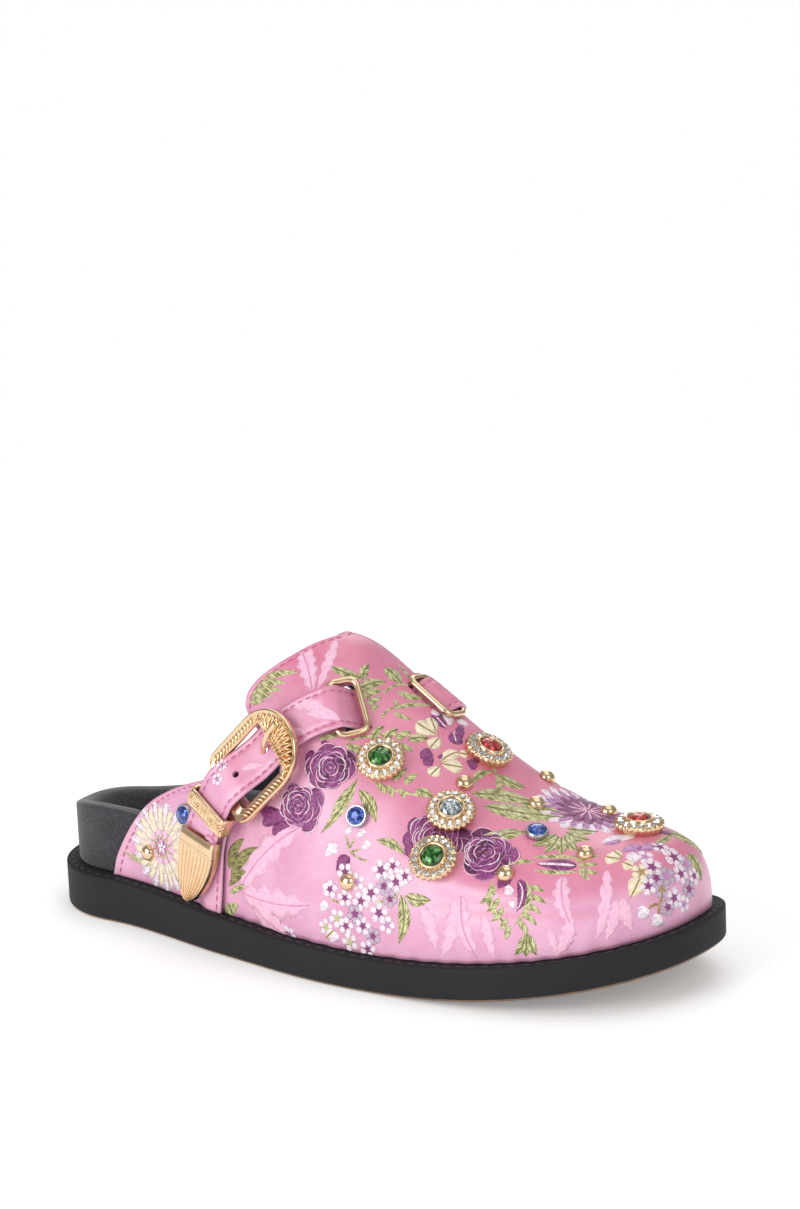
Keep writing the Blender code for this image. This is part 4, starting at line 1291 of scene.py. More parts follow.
def keeper_surface(column, row):
    place = along_loop(keeper_outline, column)
    edge = np.abs(2 * row - 1)
    cushion = KEEPER_CUSHION * (1 - edge**CUSHION_POWER) * np.clip(place[:, 1] / keeper_height * 2, 0.0, 1.0)
    local = np.stack([place[:, 0], (row - 0.5) * KEEPER_BAND, place[:, 1] + cushion], -1)
    return placed(local, keeper_matrix)


form = bmesh.new()
lay_grid(form, KEEPER_COLUMNS, KEEPER_ROWS, keeper_surface)
weld(form)
keeper = finish_piece("gold_keeper", form, [plated_gold], ["keeper"])
add_wall(keeper, KEEPER_WALL, -1.0, 0, 0)

# Relief of the keeper's front: five flowers of six petals, leaves in pairs beside each, and two borders
FLOWER_STEP = 4.1
FLOWER_SHIFT = 0.35
PETAL_START = 0.35
PETAL_REACH = 1.75
PETAL_THICK = 0.9
HEART_HALF = 0.5
HEART_RISE = 0.2
HEART_THICK = 1.0
LEAF_START = 0.4
LEAF_SINK = 0.1
# Leaves of a pair: lean along the keeper, reach across it, thickness
LEAF_PAIR = [(0.7, 2.3, 0.9), (-0.9, 2.1, 0.8)]
BORDER_INSET = 0.45
BORDER_END_GAP = 0.8
BORDER_SINK = 0.4
BORDER_THICK = 0.7
BORDER_RISE = 0.55
RELIEF_RISE = 0.5
RELIEF_SINK = 0.05
relief_level = keeper_height / 2 + KEEPER_CUSHION - RELIEF_SINK
form = bmesh.new()
for number in range(-2, 3):
    x, y = number * FLOWER_STEP, FLOWER_SHIFT * (-1) ** number
    for angle in np.arange(6) * math.pi / 3 + number:
        ends = [
            (x + reach * math.cos(angle), y + reach * math.sin(angle), relief_level)
            for reach in (PETAL_START, PETAL_REACH)]
        lay_rib(form, *ends, PETAL_THICK, RELIEF_RISE, keeper_matrix)
    ends = [(x + half, y, relief_level + HEART_RISE) for half in (-HEART_HALF, HEART_HALF)]
    lay_rib(form, *ends, HEART_THICK, RELIEF_RISE, keeper_matrix)
    for way in (-1, 1):
        root = (x + FLOWER_STEP / 2, way * LEAF_START, relief_level)
        for lean, reach, thickness in LEAF_PAIR:
            tip = (root[0] + lean, way * reach, relief_level - LEAF_SINK)
            lay_rib(form, root, tip, thickness, RELIEF_RISE, keeper_matrix)
for border in (-1, 1):
    y = border * (KEEPER_BAND / 2 - BORDER_INSET)
    reach = keeper_width / 2 - BORDER_END_GAP
    ends = [(x, y, relief_level - BORDER_SINK) for x in (-reach, reach)]
    lay_rib(form, *ends, BORDER_THICK, BORDER_RISE, keeper_matrix)
finish_piece("keeper_relief", form, [plated_gold])


# Strap tip: a cast cap, gold plated, riveted over the strap's end. Its face is fluted like a shell, the
# flutes running together at the point, under a plain rolled collar.
TIP_LENGTH = 26.0
TIP_THICKNESS = 3.4
TIP_CROWN = 0.35
# Outline: part of the length, half width
TIP_OUTLINE = [(0.00, 8.4), (0.25, 8.6), (0.50, 7.9), (0.72, 6.1), (0.90, 3.2), (0.97, 1.4)]
TIP_GAP = 0.8
TIP_COLUMNS = 120
TIP_ROWS = 70
FLUTES = 9
FLUTE_DEPTH = 1.15
FLUTE_POWER = 0.55
FLUTE_SWAY = 0.05
FLUTE_SWAY_RATE = 2.5
# The flutes fade in over this part of the length, and over this share of the width at each side
FLUTE_FADE = 0.06
FLUTE_BORDER = 1 / 8
COLLAR_LENGTH = 0.2
COLLAR_RISE = 0.45
COLLAR_BREADTH = 0.075
FILLET_RISE = 0.25
FILLET_BREADTH = 0.02
# The outer share of the width at each side is rounded down by this much
EDGE_SHARE = 0.1
EDGE_FALL = 0.5
tip_half = table_curve(TIP_OUTLINE, 1)
first_turn = STRAP_ROUTE[0][0]
across, along, up = strap_axes(first_turn)
tip_matrix = frame_matrix(-across, -along, up, strap_point(first_turn) - along * TIP_GAP * MILLIMETRE)


def tip_surface(column, row):
    part = row * TIP_OUTLINE[-1][0]
    half = tip_half(part)
    side_way = 2 * column - 1
    sway = FLUTE_SWAY * np.sin(part * FLUTE_SWAY_RATE)
    flute = np.abs(np.sin((column + sway) * FLUTES * math.pi)) ** FLUTE_POWER
    fluted = soft_step(COLLAR_LENGTH, COLLAR_LENGTH + FLUTE_FADE, part)
    fluted = fluted * np.clip((1 - np.abs(side_way)) / FLUTE_BORDER, 0.0, 1.0)
    collar = COLLAR_RISE * np.exp(-(((part - COLLAR_LENGTH / 2) / COLLAR_BREADTH) ** 2))
    fillet = FILLET_RISE * np.exp(-(((part - COLLAR_LENGTH) / FILLET_BREADTH) ** 2))
    level = TIP_THICKNESS / 2 + TIP_CROWN - FLUTE_DEPTH * (1 - flute) * fluted + collar + fillet
    level = level - EDGE_FALL * np.clip(1 - (1 - np.abs(side_way)) / EDGE_SHARE, 0.0, 1.0) ** 2
    return placed(np.stack([side_way * half, part * TIP_LENGTH, level], -1), tip_matrix)


form = bmesh.new()
lay_grid(form, TIP_COLUMNS, TIP_ROWS, tip_surface)
bmesh.ops.recalc_face_normals(form, faces=form.faces)
if sum(face.normal.dot(Vector(up)) for face in form.faces) < 0:
    bmesh.ops.reverse_faces(form, faces=form.faces)
rim_edges = [edge for edge in form.edges if edge.is_boundary]
skirt = bmesh.ops.extrude_edge_only(form, edges=rim_edges)["geom"]
lowered = [part for part in skirt if isinstance(part, bmesh.types.BMVert)]
for vertex in lowered:
    local = tip_matrix.inverted() @ vertex.co
    vertex.co = tip_matrix @ Vector((local.x, local.y, -TIP_THICKNESS / 2))
bmesh.ops.holes_fill(form, edges=[edge for edge in form.edges if edge.is_boundary], sides=0)
bmesh.ops.recalc_face_normals(form, faces=form.faces)
finish_piece("gold_strap_tip", form, [plated_gold], ["strap_tip"])


# Brooches: cast cups with a fluted edge, gold plated, riveted through the cloth. Each holds a ring of small
# claw-set crystals round a raised bezel with one large faceted glass stone.
SEAT_GAP = 0.45
# Side, station, height on the last
BROOCHES = [
    (LATERAL, 153.8, 0.612),
    (LATERAL, 182.0, 0.608),
    (LATERAL, 182.8, 0.390),
    (LATERAL, 177.2, 0.990),
    (MEDIAL, 252.1, 0.962),
]
LOBES = 24
LOBE_DEPTH = 0.32
LOBE_STEPS = 6
CUP_FLOOR = 2.85
# Cup: radius, height, share of the fluting
CUP_SECTION = [
    (0.0, -1.8, 0.0), (6.8, -1.8, 0.3), (7.5, 0.0, 0.8), (8.0, 0.7, 1.0), (8.3, 1.5, 1.0), (8.3, 2.3, 1.0),
    (8.05, CUP_FLOOR, 0.8), (7.7, 3.1, 0.4), (7.5, CUP_FLOOR, 0.0), (5.15, CUP_FLOOR, 0.0), (5.0, 3.3, 0.0),
    (4.85, 3.95, 0.0), (4.6, 4.3, 0.0), (4.25, 4.35, 0.0), (3.85, 4.0, 0.0), (3.7, 3.0, 0.0), (0.0, 2.7, 0.0),
]
CRYSTALS = 15
CRYSTAL_RING = 6.35
CRYSTAL_RADIUS = 1.2
CRYSTAL_TABLE = 0.66
CRYSTAL_HEIGHT = 0.85
CRYSTAL_SIDES = 8
CLAW_RADIUS = 0.34
CLAW_HEIGHT = 3.15
CLAW_RINGS = (CRYSTAL_RING - 0.95, CRYSTAL_RING + 1.0)
# Each brooch hangs a little from its rivet, so its lower edge stands off the cloth
BROOCH_TILT = 0.24


def seat_matrix(side, station, height, tilt=0.0):
    """Frame of a trim piece that stands on the upper, up along its Z, tilted by a share towards the sky."""
    cover = quarter_lift(station) if station < QUARTERS[LATERAL][0][2] else 0.0
    up = (Vector(last_normal(side, station, height)) + Vector((0.0, 0.0, tilt))).normalized()
    turned = up.to_track_quat("Z", "Y").to_matrix() * MILLIMETRE
    matrix = turned.to_4x4()
    matrix.translation = Vector(lifted(side, station, height, cover + SEAT_GAP))
    return matrix


def lay_turned(form, section, columns, matrix, twist=0.0):
    """Turned surface from a section of radius, height and fluting; every other ring takes the twist."""
    def surface(column, row):
        number = np.round(row * (len(section) - 1)).astype(int)
        radius = np.array([corner[0] for corner in section])[number]
        height = np.array([corner[1] for corner in section])[number]
        share = np.array([corner[2] for corner in section])[number]
        angle = (column + (number % 2) * twist / columns) * 2 * math.pi
        radius = radius + LOBE_DEPTH * share * np.cos(LOBES * angle)
        return placed(np.stack([radius * np.cos(angle), radius * np.sin(angle), height], -1), matrix)

    lay_grid(form, columns, len(section) - 1, surface)
    weld(form)


cups = bmesh.new()
crystals = bmesh.new()
for brooch in BROOCHES:
    matrix = seat_matrix(*brooch, BROOCH_TILT)
    lay_turned(cups, CUP_SECTION, LOBES * LOBE_STEPS, matrix)
    for number in range(CRYSTALS):
        angle = number / CRYSTALS * 2 * math.pi
        out = Vector((math.cos(angle), math.sin(angle), 0.0))
        middle = out * CRYSTAL_RING + Vector((0.0, 0.0, CUP_FLOOR + CRYSTAL_HEIGHT / 2))
        seat = matrix @ Matrix.Translation(middle)
        bmesh.ops.create_cone(
            crystals, cap_ends=True, segments=CRYSTAL_SIDES, radius1=CRYSTAL_RADIUS, radius2=CRYSTAL_TABLE,
            depth=CRYSTAL_HEIGHT, matrix=seat @ Matrix.Rotation(angle, 4, "Z"))
        between = (number + 0.5) / CRYSTALS * 2 * math.pi
        for radius in CLAW_RINGS:
            claw = Vector((radius * math.cos(between), radius * math.sin(between), CLAW_HEIGHT))
            seat = matrix @ Matrix.Translation(claw)
            bmesh.ops.create_icosphere(cups, subdivisions=1, radius=CLAW_RADIUS, matrix=seat)
finish_piece("brooch_cups", cups, [plated_gold], [f"brooch_{number}" for number in range(1, 6)])

# Cut crystal on silver foil: each facet throws back a different part of the room
foil_crystal, tree, shader = new_material("foiled_crystal", "#E4E8EC", 0.06, Metallic=0.85, Coat_Weight=0.5)
place = add_node(tree, "ShaderNodeTexCoord").outputs["Object"]
flaws = add_node(tree, "ShaderNodeTexNoise", {"Scale": per_metre(1.6), "Detail": 2.0}, {"Vector": place})
tone = add_node(
    tree, "ShaderNodeMix", {"A": linear("#A9B0B4"), "B": linear("#FFFFFF")},
    {"Factor": flaws}, data_type="RGBA")
feed(shader, Base_Color=tone)
finish_piece("brooch_crystals", crystals, [foil_crystal], sharp_degrees=5.0)

# Gem: radius, height, share of the fluting
GEM_SECTION = [(3.65, 3.0, 0.0), (3.65, 3.9, 0.0), (2.8, 4.6, 0.0), (1.6, 5.1, 0.0), (0.0, 5.25, 0.0)]
GEM_FACETS = 14
# Glass stones: each colour in three shades, painted reflections for facets that catch more or less of the
# foil behind
GEM_GLASS_AND_REFLECTIONS = {
    "green": ("#06300B", "#146A16", "#54B832"),
    "clear": ("#5F6A72", "#AEB8BE", "#F4F6F8"),
    "red": ("#6A0710", "#C2121C", "#F5482F"),
    "blue": ("#0A1E66", "#1B3FA8", "#3F79E0"),
}


def stone_glass_and_reflections(colour):
    """Materials of a foiled glass stone from its dark to its bright facets: the glass's colour with painted
    reflection.
    """
    made = []
    for number, shade in enumerate(GEM_GLASS_AND_REFLECTIONS[colour]):
        material, tree, shader = new_material(
            f"{colour}_glass_{number}", shade, 0.05,
            Metallic=0.35, Coat_Weight=1.0, Coat_Roughness=0.03, IOR=1.56)
        place = add_node(tree, "ShaderNodeTexCoord").outputs["Object"]
        depth = add_node(
            tree, "ShaderNodeTexNoise", {"Scale": per_metre(1.4), "Detail": 3.0}, {"Vector": place})
        tone = add_node(
            tree, "ShaderNodeMix", {"A": linear(GEM_GLASS_AND_REFLECTIONS[colour][max(number - 1, 0)]), "B": linear(shade)},
            {"Factor": depth}, data_type="RGBA")
        feed(shader, Base_Color=tone)
        made.append(material)
    return made


def lay_stone(form, section, facets, matrix):
    """Faceted stone: staggered rings, every facet flat, given dark, middle and bright painted reflection by
    turns.
    """
    before = set(form.faces)
    lay_turned(form, section, facets, matrix, twist=0.5)
    made = [face for face in form.faces if face not in before]
    made = bmesh.ops.triangulate(form, faces=made)["faces"]
    for number, face in enumerate(made):
        face.material_index = (number * 7 + number // 3) % 3


glasses = {colour: stone_glass_and_reflections(colour) for colour in GEM_GLASS_AND_REFLECTIONS}
for colour, numbers in (("green", (1, 3)), ("clear", (2,)), ("red", (4, 5))):
    form = bmesh.new()
    for number in numbers:
        lay_stone(form, GEM_SECTION, GEM_FACETS, seat_matrix(*BROOCHES[number - 1], BROOCH_TILT))
    names = [f"gem_{number}" for number in numbers]
    finish_piece(f"{colour}_gems", form, glasses[colour], names, sharp_degrees=2.0)


# Blue stones: small faceted glass stones, each in a plain cup of silver-plated brass. The cup's edge is
# rubbed over the stone, and the cup is riveted through the cloth.
# Side, station, height on the last
STONES = [(LATERAL, 151.5, 0.398), (LATERAL, 210.5, 0.765), (LATERAL, 73.5, 0.204)]
SETTING_COLUMNS = 48
# Setting and stone: radius, height, share of the fluting
SETTING_SECTION = [
    (0.0, -0.4, 0.0), (3.7, -0.4, 0.0), (3.9, 0.2, 0.0), (3.95, 0.9, 0.0), (3.85, 1.4, 0.0), (3.6, 1.7, 0.0),
    (3.3, 1.7, 0.0), (3.15, 1.4, 0.0), (0.0, 1.1, 0.0),
]
BLUE_SECTION = [(3.1, 1.2, 0.0), (3.1, 1.6, 0.0), (2.3, 2.2, 0.0), (1.2, 2.55, 0.0), (0.0, 2.65, 0.0)]
BLUE_FACETS = 12
# Bright silver plate: a cool mirror, a little softened by wear
plated_silver, tree, shader = new_material("bright_silver_plate", "#B9BBC1", 0.22, Metallic=1.0)
place = add_node(tree, "ShaderNodeTexCoord").outputs["Object"]
wear = add_node(tree, "ShaderNodeTexNoise", {"Scale": per_metre(3.0), "Detail": 4.0}, {"Vector": place})
gloss = add_node(tree, "ShaderNodeMapRange", {"To Min": 0.12, "To Max": 0.32}, {"Value": wear})
feed(shader, Roughness=gloss)
settings = bmesh.new()
stones = bmesh.new()
for stone in STONES:
    lay_turned(settings, SETTING_SECTION, SETTING_COLUMNS, seat_matrix(*stone))
    lay_stone(stones, BLUE_SECTION, BLUE_FACETS, seat_matrix(*stone))
names = [f"stone_setting_{number}" for number in (1, 2, 3)]
finish_piece("stone_settings", settings, [plated_silver], names)
names = [f"stone_{number}" for number in (1, 2, 3)]
finish_piece("blue_stones", stones, glasses["blue"], names, sharp_degrees=2.0)


# Studs: domes of brass pressed over a small turned foot and gold plated. Each is clinched through the cloth
# of the vamp or the wing from behind.
# Side, station, height on the last
STUDS = [
    (LATERAL, 180.0, 0.775),
    (LATERAL, 200.8, 0.940),
    (MEDIAL, 190.8, 0.780),
    (MEDIAL, 220.2, 0.862),
    (LATERAL, 233.5, 0.702),
    (LATERAL, 208.5, 0.452),
    (LATERAL, 151.2, 0.195),
    (LATERAL, 53.5, 0.079),
]
STUD_RADIUS = 2.95
STUD_RISE = 2.5
STUD_COLUMNS = 32
FOOT_BASE = -0.4
FOOT_FLARE = 0.1
FLARE_HEIGHT = -0.1
FOOT_TOP = 0.25
DOME_BASE = 0.2
DOME_START = 0.12
DOME_RINGS = 9
# Section: radius, height, share of the fluting
dome = [
    (0.0, FOOT_BASE, 0.0),
    (STUD_RADIUS, FOOT_BASE, 0.0),
    (STUD_RADIUS + FOOT_FLARE, FLARE_HEIGHT, 0.0),
    (STUD_RADIUS, FOOT_TOP, 0.0),
]
for angle in np.linspace(DOME_START, math.pi / 2, DOME_RINGS):
    dome.append((STUD_RADIUS * math.cos(angle), DOME_BASE + (STUD_RISE - DOME_BASE) * math.sin(angle), 0.0))
studs = bmesh.new()
for stud in STUDS:
    lay_turned(studs, dome, STUD_COLUMNS, seat_matrix(*stud))
finish_piece("dome_studs", studs, [plated_gold], [f"stud_{number}" for number in range(1, 9)])


# Floor, light and camera: a white sweep under a wide soft lamp on the left and weaker ones on the right,
# overhead and behind. The camera stands where the photograph was taken.
CAMERA_AZIMUTH = math.radians(35.44)
CAMERA_ELEVATION = math.radians(17.8)
CAMERA_ROLL = math.radians(-2.74)
CAMERA_DISTANCE = 1257.0
CAMERA_FOCAL_PIXELS = 3583.0
PHOTO_SIZE = (800, 1209)
TARGET = Vector((0.0, -CENTRE_Y * MILLIMETRE, 30.0 * MILLIMETRE))
TARGET_RIGHT_PIXELS = -37.4
TARGET_DOWN_PIXELS = 248.1
SENSOR = 36.0
FLOOR_RADIUS = 0.9
FLOOR_SIDES = 96
FLOOR_GLOW = 0.2

floor_form = bmesh.new()
bmesh.ops.create_circle(floor_form, cap_ends=True, segments=FLOOR_SIDES, radius=FLOOR_RADIUS)
floor_mesh = bpy.data.meshes.new("studio_floor")
floor_form.to_mesh(floor_mesh)
floor_form.free()
# White paper: matt, with a little light of its own so that it fades into the white of the room
studio_white = new_material(
    "studio_white_paper", "#F7F6F6", 0.9, Specular_IOR_Level=0.1,
    Emission_Color=linear("#FFFFFF"), Emission_Strength=FLOOR_GLOW)[0]
floor_mesh.materials.append(studio_white)
floor = bpy.data.objects.new("studio_floor", floor_mesh)
bpy.context.scene.collection.objects.link(floor)

back = Vector((
    math.sin(CAMERA_AZIMUTH) * math.cos(CAMERA_ELEVATION),
    -math.cos(CAMERA_AZIMUTH) * math.cos(CAMERA_ELEVATION),
    math.sin(CAMERA_ELEVATION)))
right = Vector((math.cos(CAMERA_AZIMUTH), math.sin(CAMERA_AZIMUTH), 0.0))
camera_place = TARGET + back * CAMERA_DISTANCE * MILLIMETRE
yaw = math.atan2(TARGET_RIGHT_PIXELS, CAMERA_FOCAL_PIXELS)
pitch = math.atan2(TARGET_DOWN_PIXELS, math.hypot(CAMERA_FOCAL_PIXELS, TARGET_RIGHT_PIXELS))
up = back.cross(right)
turned_back = back * math.cos(yaw) + right * math.sin(yaw)
turned_right = right * math.cos(yaw) - back * math.sin(yaw)
camera_back = turned_back * math.cos(pitch) - up * math.sin(pitch)
level_up = up * math.cos(pitch) + turned_back * math.sin(pitch)
camera_right = turned_right * math.cos(CAMERA_ROLL) + level_up * math.sin(CAMERA_ROLL)
camera_up = level_up * math.cos(CAMERA_ROLL) - turned_right * math.sin(CAMERA_ROLL)

camera_data = bpy.data.cameras.new("photo_camera")
camera_data.sensor_width = SENSOR
camera_data.lens = SENSOR * CAMERA_FOCAL_PIXELS / max(PHOTO_SIZE)
camera = bpy.data.objects.new("photo_camera", camera_data)
matrix = Matrix((camera_right, camera_up, camera_back)).transposed().to_4x4()
matrix.translation = camera_place
camera.matrix_world = matrix
bpy.context.scene.collection.objects.link(camera)
bpy.context.scene.camera = camera
bpy.context.scene.view_settings.view_transform = "Standard"

# Lamps: name, place in metres, width, power in watts
LAMPS = [
    ("left_softbox", (-0.40, -1.35, 0.55), 1.0, 12.0),
    ("right_softbox", (1.25, -0.55, 0.75), 0.9, 5.0),
    ("overhead_softbox", (0.15, 0.25, 1.5), 1.3, 5.0),
    ("rim_softbox", (-0.6, 1.1, 0.9), 0.9, 4.0),
]
for name, where, width, power in LAMPS:
    lamp_data = bpy.data.lights.new(name, "AREA")
    lamp_data.size = width
    lamp_data.energy = power
    lamp = bpy.data.objects.new(name, lamp_data)
    aim = (TARGET - Vector(where)).to_track_quat("-Z", "Y").to_matrix().to_4x4()
    lamp.matrix_world = Matrix.Translation(where) @ aim
    bpy.context.scene.collection.objects.link(lamp)

# The room is white where the camera sees it, and darker in reflections than in the light it gives
ROOM_LIGHT = 0.52
ROOM_REFLECTION = 0.36
room = bpy.data.worlds.new("studio_room")
bpy.context.scene.world = room
room.use_nodes = True
tree = room.node_tree
rays = add_node(tree, "ShaderNodeLightPath")
white = add_node(tree, "ShaderNodeBackground", {"Color": linear("#FFFFFF"), "Strength": 1.0})
soft = add_node(tree, "ShaderNodeBackground", {"Color": linear("#FFFFFF"), "Strength": ROOM_LIGHT})
dim = add_node(tree, "ShaderNodeBackground", {"Color": linear("#FFFFFF"), "Strength": ROOM_REFLECTION})
lit = add_node(
    tree, "ShaderNodeMixShader", {}, {0: rays.outputs["Is Glossy Ray"], 1: soft, 2: dim})
seen = add_node(
    tree, "ShaderNodeMixShader", {}, {0: rays.outputs["Is Camera Ray"], 1: lit, 2: white})
tree.links.new(in_use(seen), tree.nodes["World Output"].inputs["Surface"])


# Woven pattern: chrysanthemums, peonies, blossoms and leaves floated in silk over the satin ground, as
# brocade is. Each petal is a thin crowned patch of threads lying on the cloth, where the photograph shows it.
# Outlines of a patch: half width along it, as a share of the full half width
PATCH_OUTLINES = {
    "leaf": lambda part: np.sin(math.pi * part**0.85) ** 0.8,
    "lobed": lambda part: (
        np.sin(math.pi * part**0.8) ** 0.7 * (0.55 + 0.45 * np.abs(np.sin(math.pi * 4.5 * part)))),
    "petal": lambda part: np.clip(np.sin(math.pi * part**1.5), 0.0, 1.0) ** 0.6,
    "bud": lambda part: np.sqrt(np.clip(1 - (2 * part - 1) ** 2, 0.0, 1.0)),
    "stem": lambda part: np.clip(np.minimum(part, 1 - part) * 9, 0.1, 1.0),
}
# Thread ends stand out by turns along the edges of a patch
THREAD_STEP = 0.6
RAGGED = 0.13
PATCH_ROWS = 4
LEAST_COLUMNS = 6
MOST_COLUMNS = 36
PATCH_CROWN = 0.14
CROWN_GAIN = 1.5
LAYER_RISE = 0.06
PATCH_WALL = 0.25
# Silk: its colour with a painted highlight where the floats catch the light, and painted shade between them
SILKS = {
    "olive": ("#D9D6A2", "#6C6A33"),
    "moss": ("#A09C5E", "#4C4626"),
    "cream": ("#F4EAD2", "#D8C39C"),
    "white": ("#FBF4F7", "#C6A6C0"),
    "ash": ("#D3C0D0", "#8C7190"),
    "plum": ("#9A4484", "#5A1B4B"),
    "wine": ("#6F2758", "#3B0D30"),
    "mauve": ("#CF9AC8", "#8F4C88"),
    "blush": ("#F0C0D6", "#E4A9C6"),
    "rose": ("#DE9ABB", "#D28BAD"),
    "tan": ("#B99B66", "#7C5E36"),
}
pattern_forms = {silk: bmesh.new() for silk in SILKS}
# Patches laid on the vamp, kept to repeat them on its other side
laid_patches = []
# A patch that the camera sees at a slant is wider than it looks, up to this share
LEAST_SEEN = 0.45


def on_cloth(cloth, pixel):
    """Place on a cloth that a pixel of the photograph shows."""
    across = (pixel[0] - PHOTO_SIZE[0] / 2) / CAMERA_FOCAL_PIXELS
    over = (PHOTO_SIZE[1] / 2 - pixel[1]) / CAMERA_FOCAL_PIXELS
    ray = (camera_right * across + camera_up * over - camera_back).normalized()
    hit = cloth.ray_cast(camera_place, ray)[0]
    return hit or cloth.find_nearest(camera_place + ray * CAMERA_DISTANCE * MILLIMETRE)[0]


def lay_patch(silk, cloth, root, tip, width, outline="leaf", bend=0.0, layer=0):
    """Patch of silk floats from root to tip, points of the shoe's frame; bend is a share of its length."""
    if cloth is vamp_cloth:
        laid_patches.append((silk, root, tip, width, outline, bend, layer))
    run = tip - root
    normal = cloth.find_nearest((root + tip) / 2)[1]
    across = normal.cross(run).normalized()
    length = run.length / MILLIMETRE
    columns = int(np.clip(length / THREAD_STEP, LEAST_COLUMNS, MOST_COLUMNS))
    ragged = 0.0 if outline == "stem" else RAGGED

    def surface(column, row):
        side_way = 2 * row - 1
        share = PATCH_OUTLINES[outline](column)
        notch = 1 - ragged * (np.round(column * columns) % 2)
        offset = width / 2 * side_way * share * notch + bend * length * 4 * column * (1 - column)
        crown = PATCH_CROWN * (1 - side_way**2) * np.minimum(CROWN_GAIN * share, 1.0)
        rise = LAYER_RISE * layer + crown
        points = []
        for part, shift, lift in zip(column, offset, rise):
            near, facing = cloth.find_nearest(root + run * part + across * shift * MILLIMETRE)[:2]
            points.append(near + facing * lift * MILLIMETRE)
        return points

    def spread(column, row):
        return column * length, row * width

    lay_grid(pattern_forms[silk], columns, PATCH_ROWS, surface, spread)


def weave(silk, places, outline="leaf", cloth=vamp_cloth, layer=0):
    """Patches from rows of root pixel, tip pixel, width as it looks to the camera, and any bend."""
    for root_x, root_y, tip_x, tip_y, width, *bend in places:
        root, tip = on_cloth(cloth, (root_x, root_y)), on_cloth(cloth, (tip_x, tip_y))
        middle = (root + tip) / 2
        across = cloth.find_nearest(middle)[1].cross(tip - root).normalized()
        seen = across.cross((camera_place - middle).normalized()).length
        width = width / max(seen, LEAST_SEEN)
        lay_patch(silk, cloth, root, tip, width, outline, *bend, layer=layer)


def flower_axes(cloth, centre):
    """Directions at a flower's centre: out of the cloth, level along it, and up along it."""
    normal = cloth.find_nearest(centre)[1]
    toward = normal.cross(Vector((0.0, 0.0, 1.0))).normalized()
    return normal, toward, toward.cross(normal)


def ring_of_petals(silk, cloth, centre, inner, outer, count, width, start=0.0, outline="petal", layer=0):
    """Petals set round a centre, from an inner to an outer radius in millimetres."""
    normal, toward, over = flower_axes(cloth, centre)
    for number in range(count):
        angle = start + number / count * 2 * math.pi
        ray = toward * math.cos(angle) + over * math.sin(angle)
        root, tip = centre + ray * inner * MILLIMETRE, centre + ray * outer * MILLIMETRE
        lay_patch(silk, cloth, root, tip, width, outline, 0.0, layer)


def blossom(cloth, centre, radius, start, heart="plum", petals="white"):
    """Five round petals about a small heart, in shares of the blossom's radius."""
    ring_of_petals(petals, cloth, centre, 0.2 * radius, radius, 5, 0.84 * radius, start, layer=1)
    ring_of_petals(heart, cloth, centre, 0.0, 0.42 * radius, 5, 0.3 * radius, start + 0.6, "leaf", 3)


SCALLOP_BEND = 0.26


def ring_of_scallops(silk, cloth, centre, radius, count, width, start=0.0, layer=0):
    """Outline of round petals about a centre: one bent line for each, from notch to notch."""
    normal, toward, over = flower_axes(cloth, centre)
    notches = []
    for number in range(count + 1):
        angle = start + number / count * 2 * math.pi
        notches.append(centre + (toward * math.cos(angle) + over * math.sin(angle)) * radius * MILLIMETRE)
    for root, tip in zip(notches, notches[1:]):
        lay_patch(silk, cloth, root, tip, width, "stem", -SCALLOP_BEND, layer)


# Rows of a peony, from the outside: share of its radius, petals, silks of the rims by turns
PEONY_ROWS = [
    (0.95, 10, ("white", "mauve", "blush")),
    (0.72, 7, ("blush", "mauve")),
    (0.48, 5, ("white", "mauve")),
    (0.3, 4, ("blush", "mauve")),
    (0.14, 3, ("mauve",)),
]
PEONY_SQUASH = 0.9
# Least and most reach of a petal as a share of its row's: the outer row is the most uneven
OUTER_REACH = (0.72, 1.30)
INNER_REACH = (0.84, 1.14)
PETAL_SWAY = 0.2
PETAL_FULLNESS = 1.15
PETAL_OVERLAP = 2.1
PLUM_SHARE = 0.75
# Shares of a petal's reach where it starts, how far its rim's ends fall back, and what its vein leaves free
PETAL_ROOT = 0.3
RIM_FALL = 0.25
VEIN_START = 0.2
VEIN_END = 0.12
RIM_THREAD = 0.55
RIM_BEND = 0.3
VEIN_THREAD = 0.35
VEIN_BEND = 0.08


def peony(cloth, centre, radius, seed):
    """Ruffled plum petals in rows, no two alike, with pale threads along their rims."""
    chance = np.random.default_rng(seed)
    normal, toward, over = flower_axes(cloth, centre)
    for row, (size, count, rims) in enumerate(PEONY_ROWS):
        start = chance.uniform(0.0, 1.0)
        for number in range(count):
            angle = (number + start + chance.uniform(-PETAL_SWAY, PETAL_SWAY)) / count * 2 * math.pi
            uneven = chance.uniform(*(OUTER_REACH if row == 0 else INNER_REACH))
            reach = size * radius * uneven * MILLIMETRE
            ray = toward * math.cos(angle) + over * math.sin(angle) * PEONY_SQUASH
            half = reach * math.sin(math.pi / count) * PETAL_FULLNESS
            aside = normal.cross(ray).normalized() * half
            root, tip = centre + ray * PETAL_ROOT * reach, centre + ray * reach
            shoulder = tip - ray * RIM_FALL * reach
            vein_root, vein_tip = root + ray * VEIN_START * reach, tip - ray * VEIN_END * reach
            silk = "plum" if chance.uniform() < PLUM_SHARE else "wine"
            rim = rims[number % len(rims)]
            lay_patch(silk, cloth, root, tip, PETAL_OVERLAP * half / MILLIMETRE, "petal", 0.0, 2 * row)
            left, right = shoulder - aside, shoulder + aside
            lay_patch(rim, cloth, left, right, RIM_THREAD, "stem", -RIM_BEND, 2 * row + 3)
            lay_patch("mauve", cloth, vein_root, vein_tip, VEIN_THREAD, "stem", VEIN_BEND, 2 * row + 2)


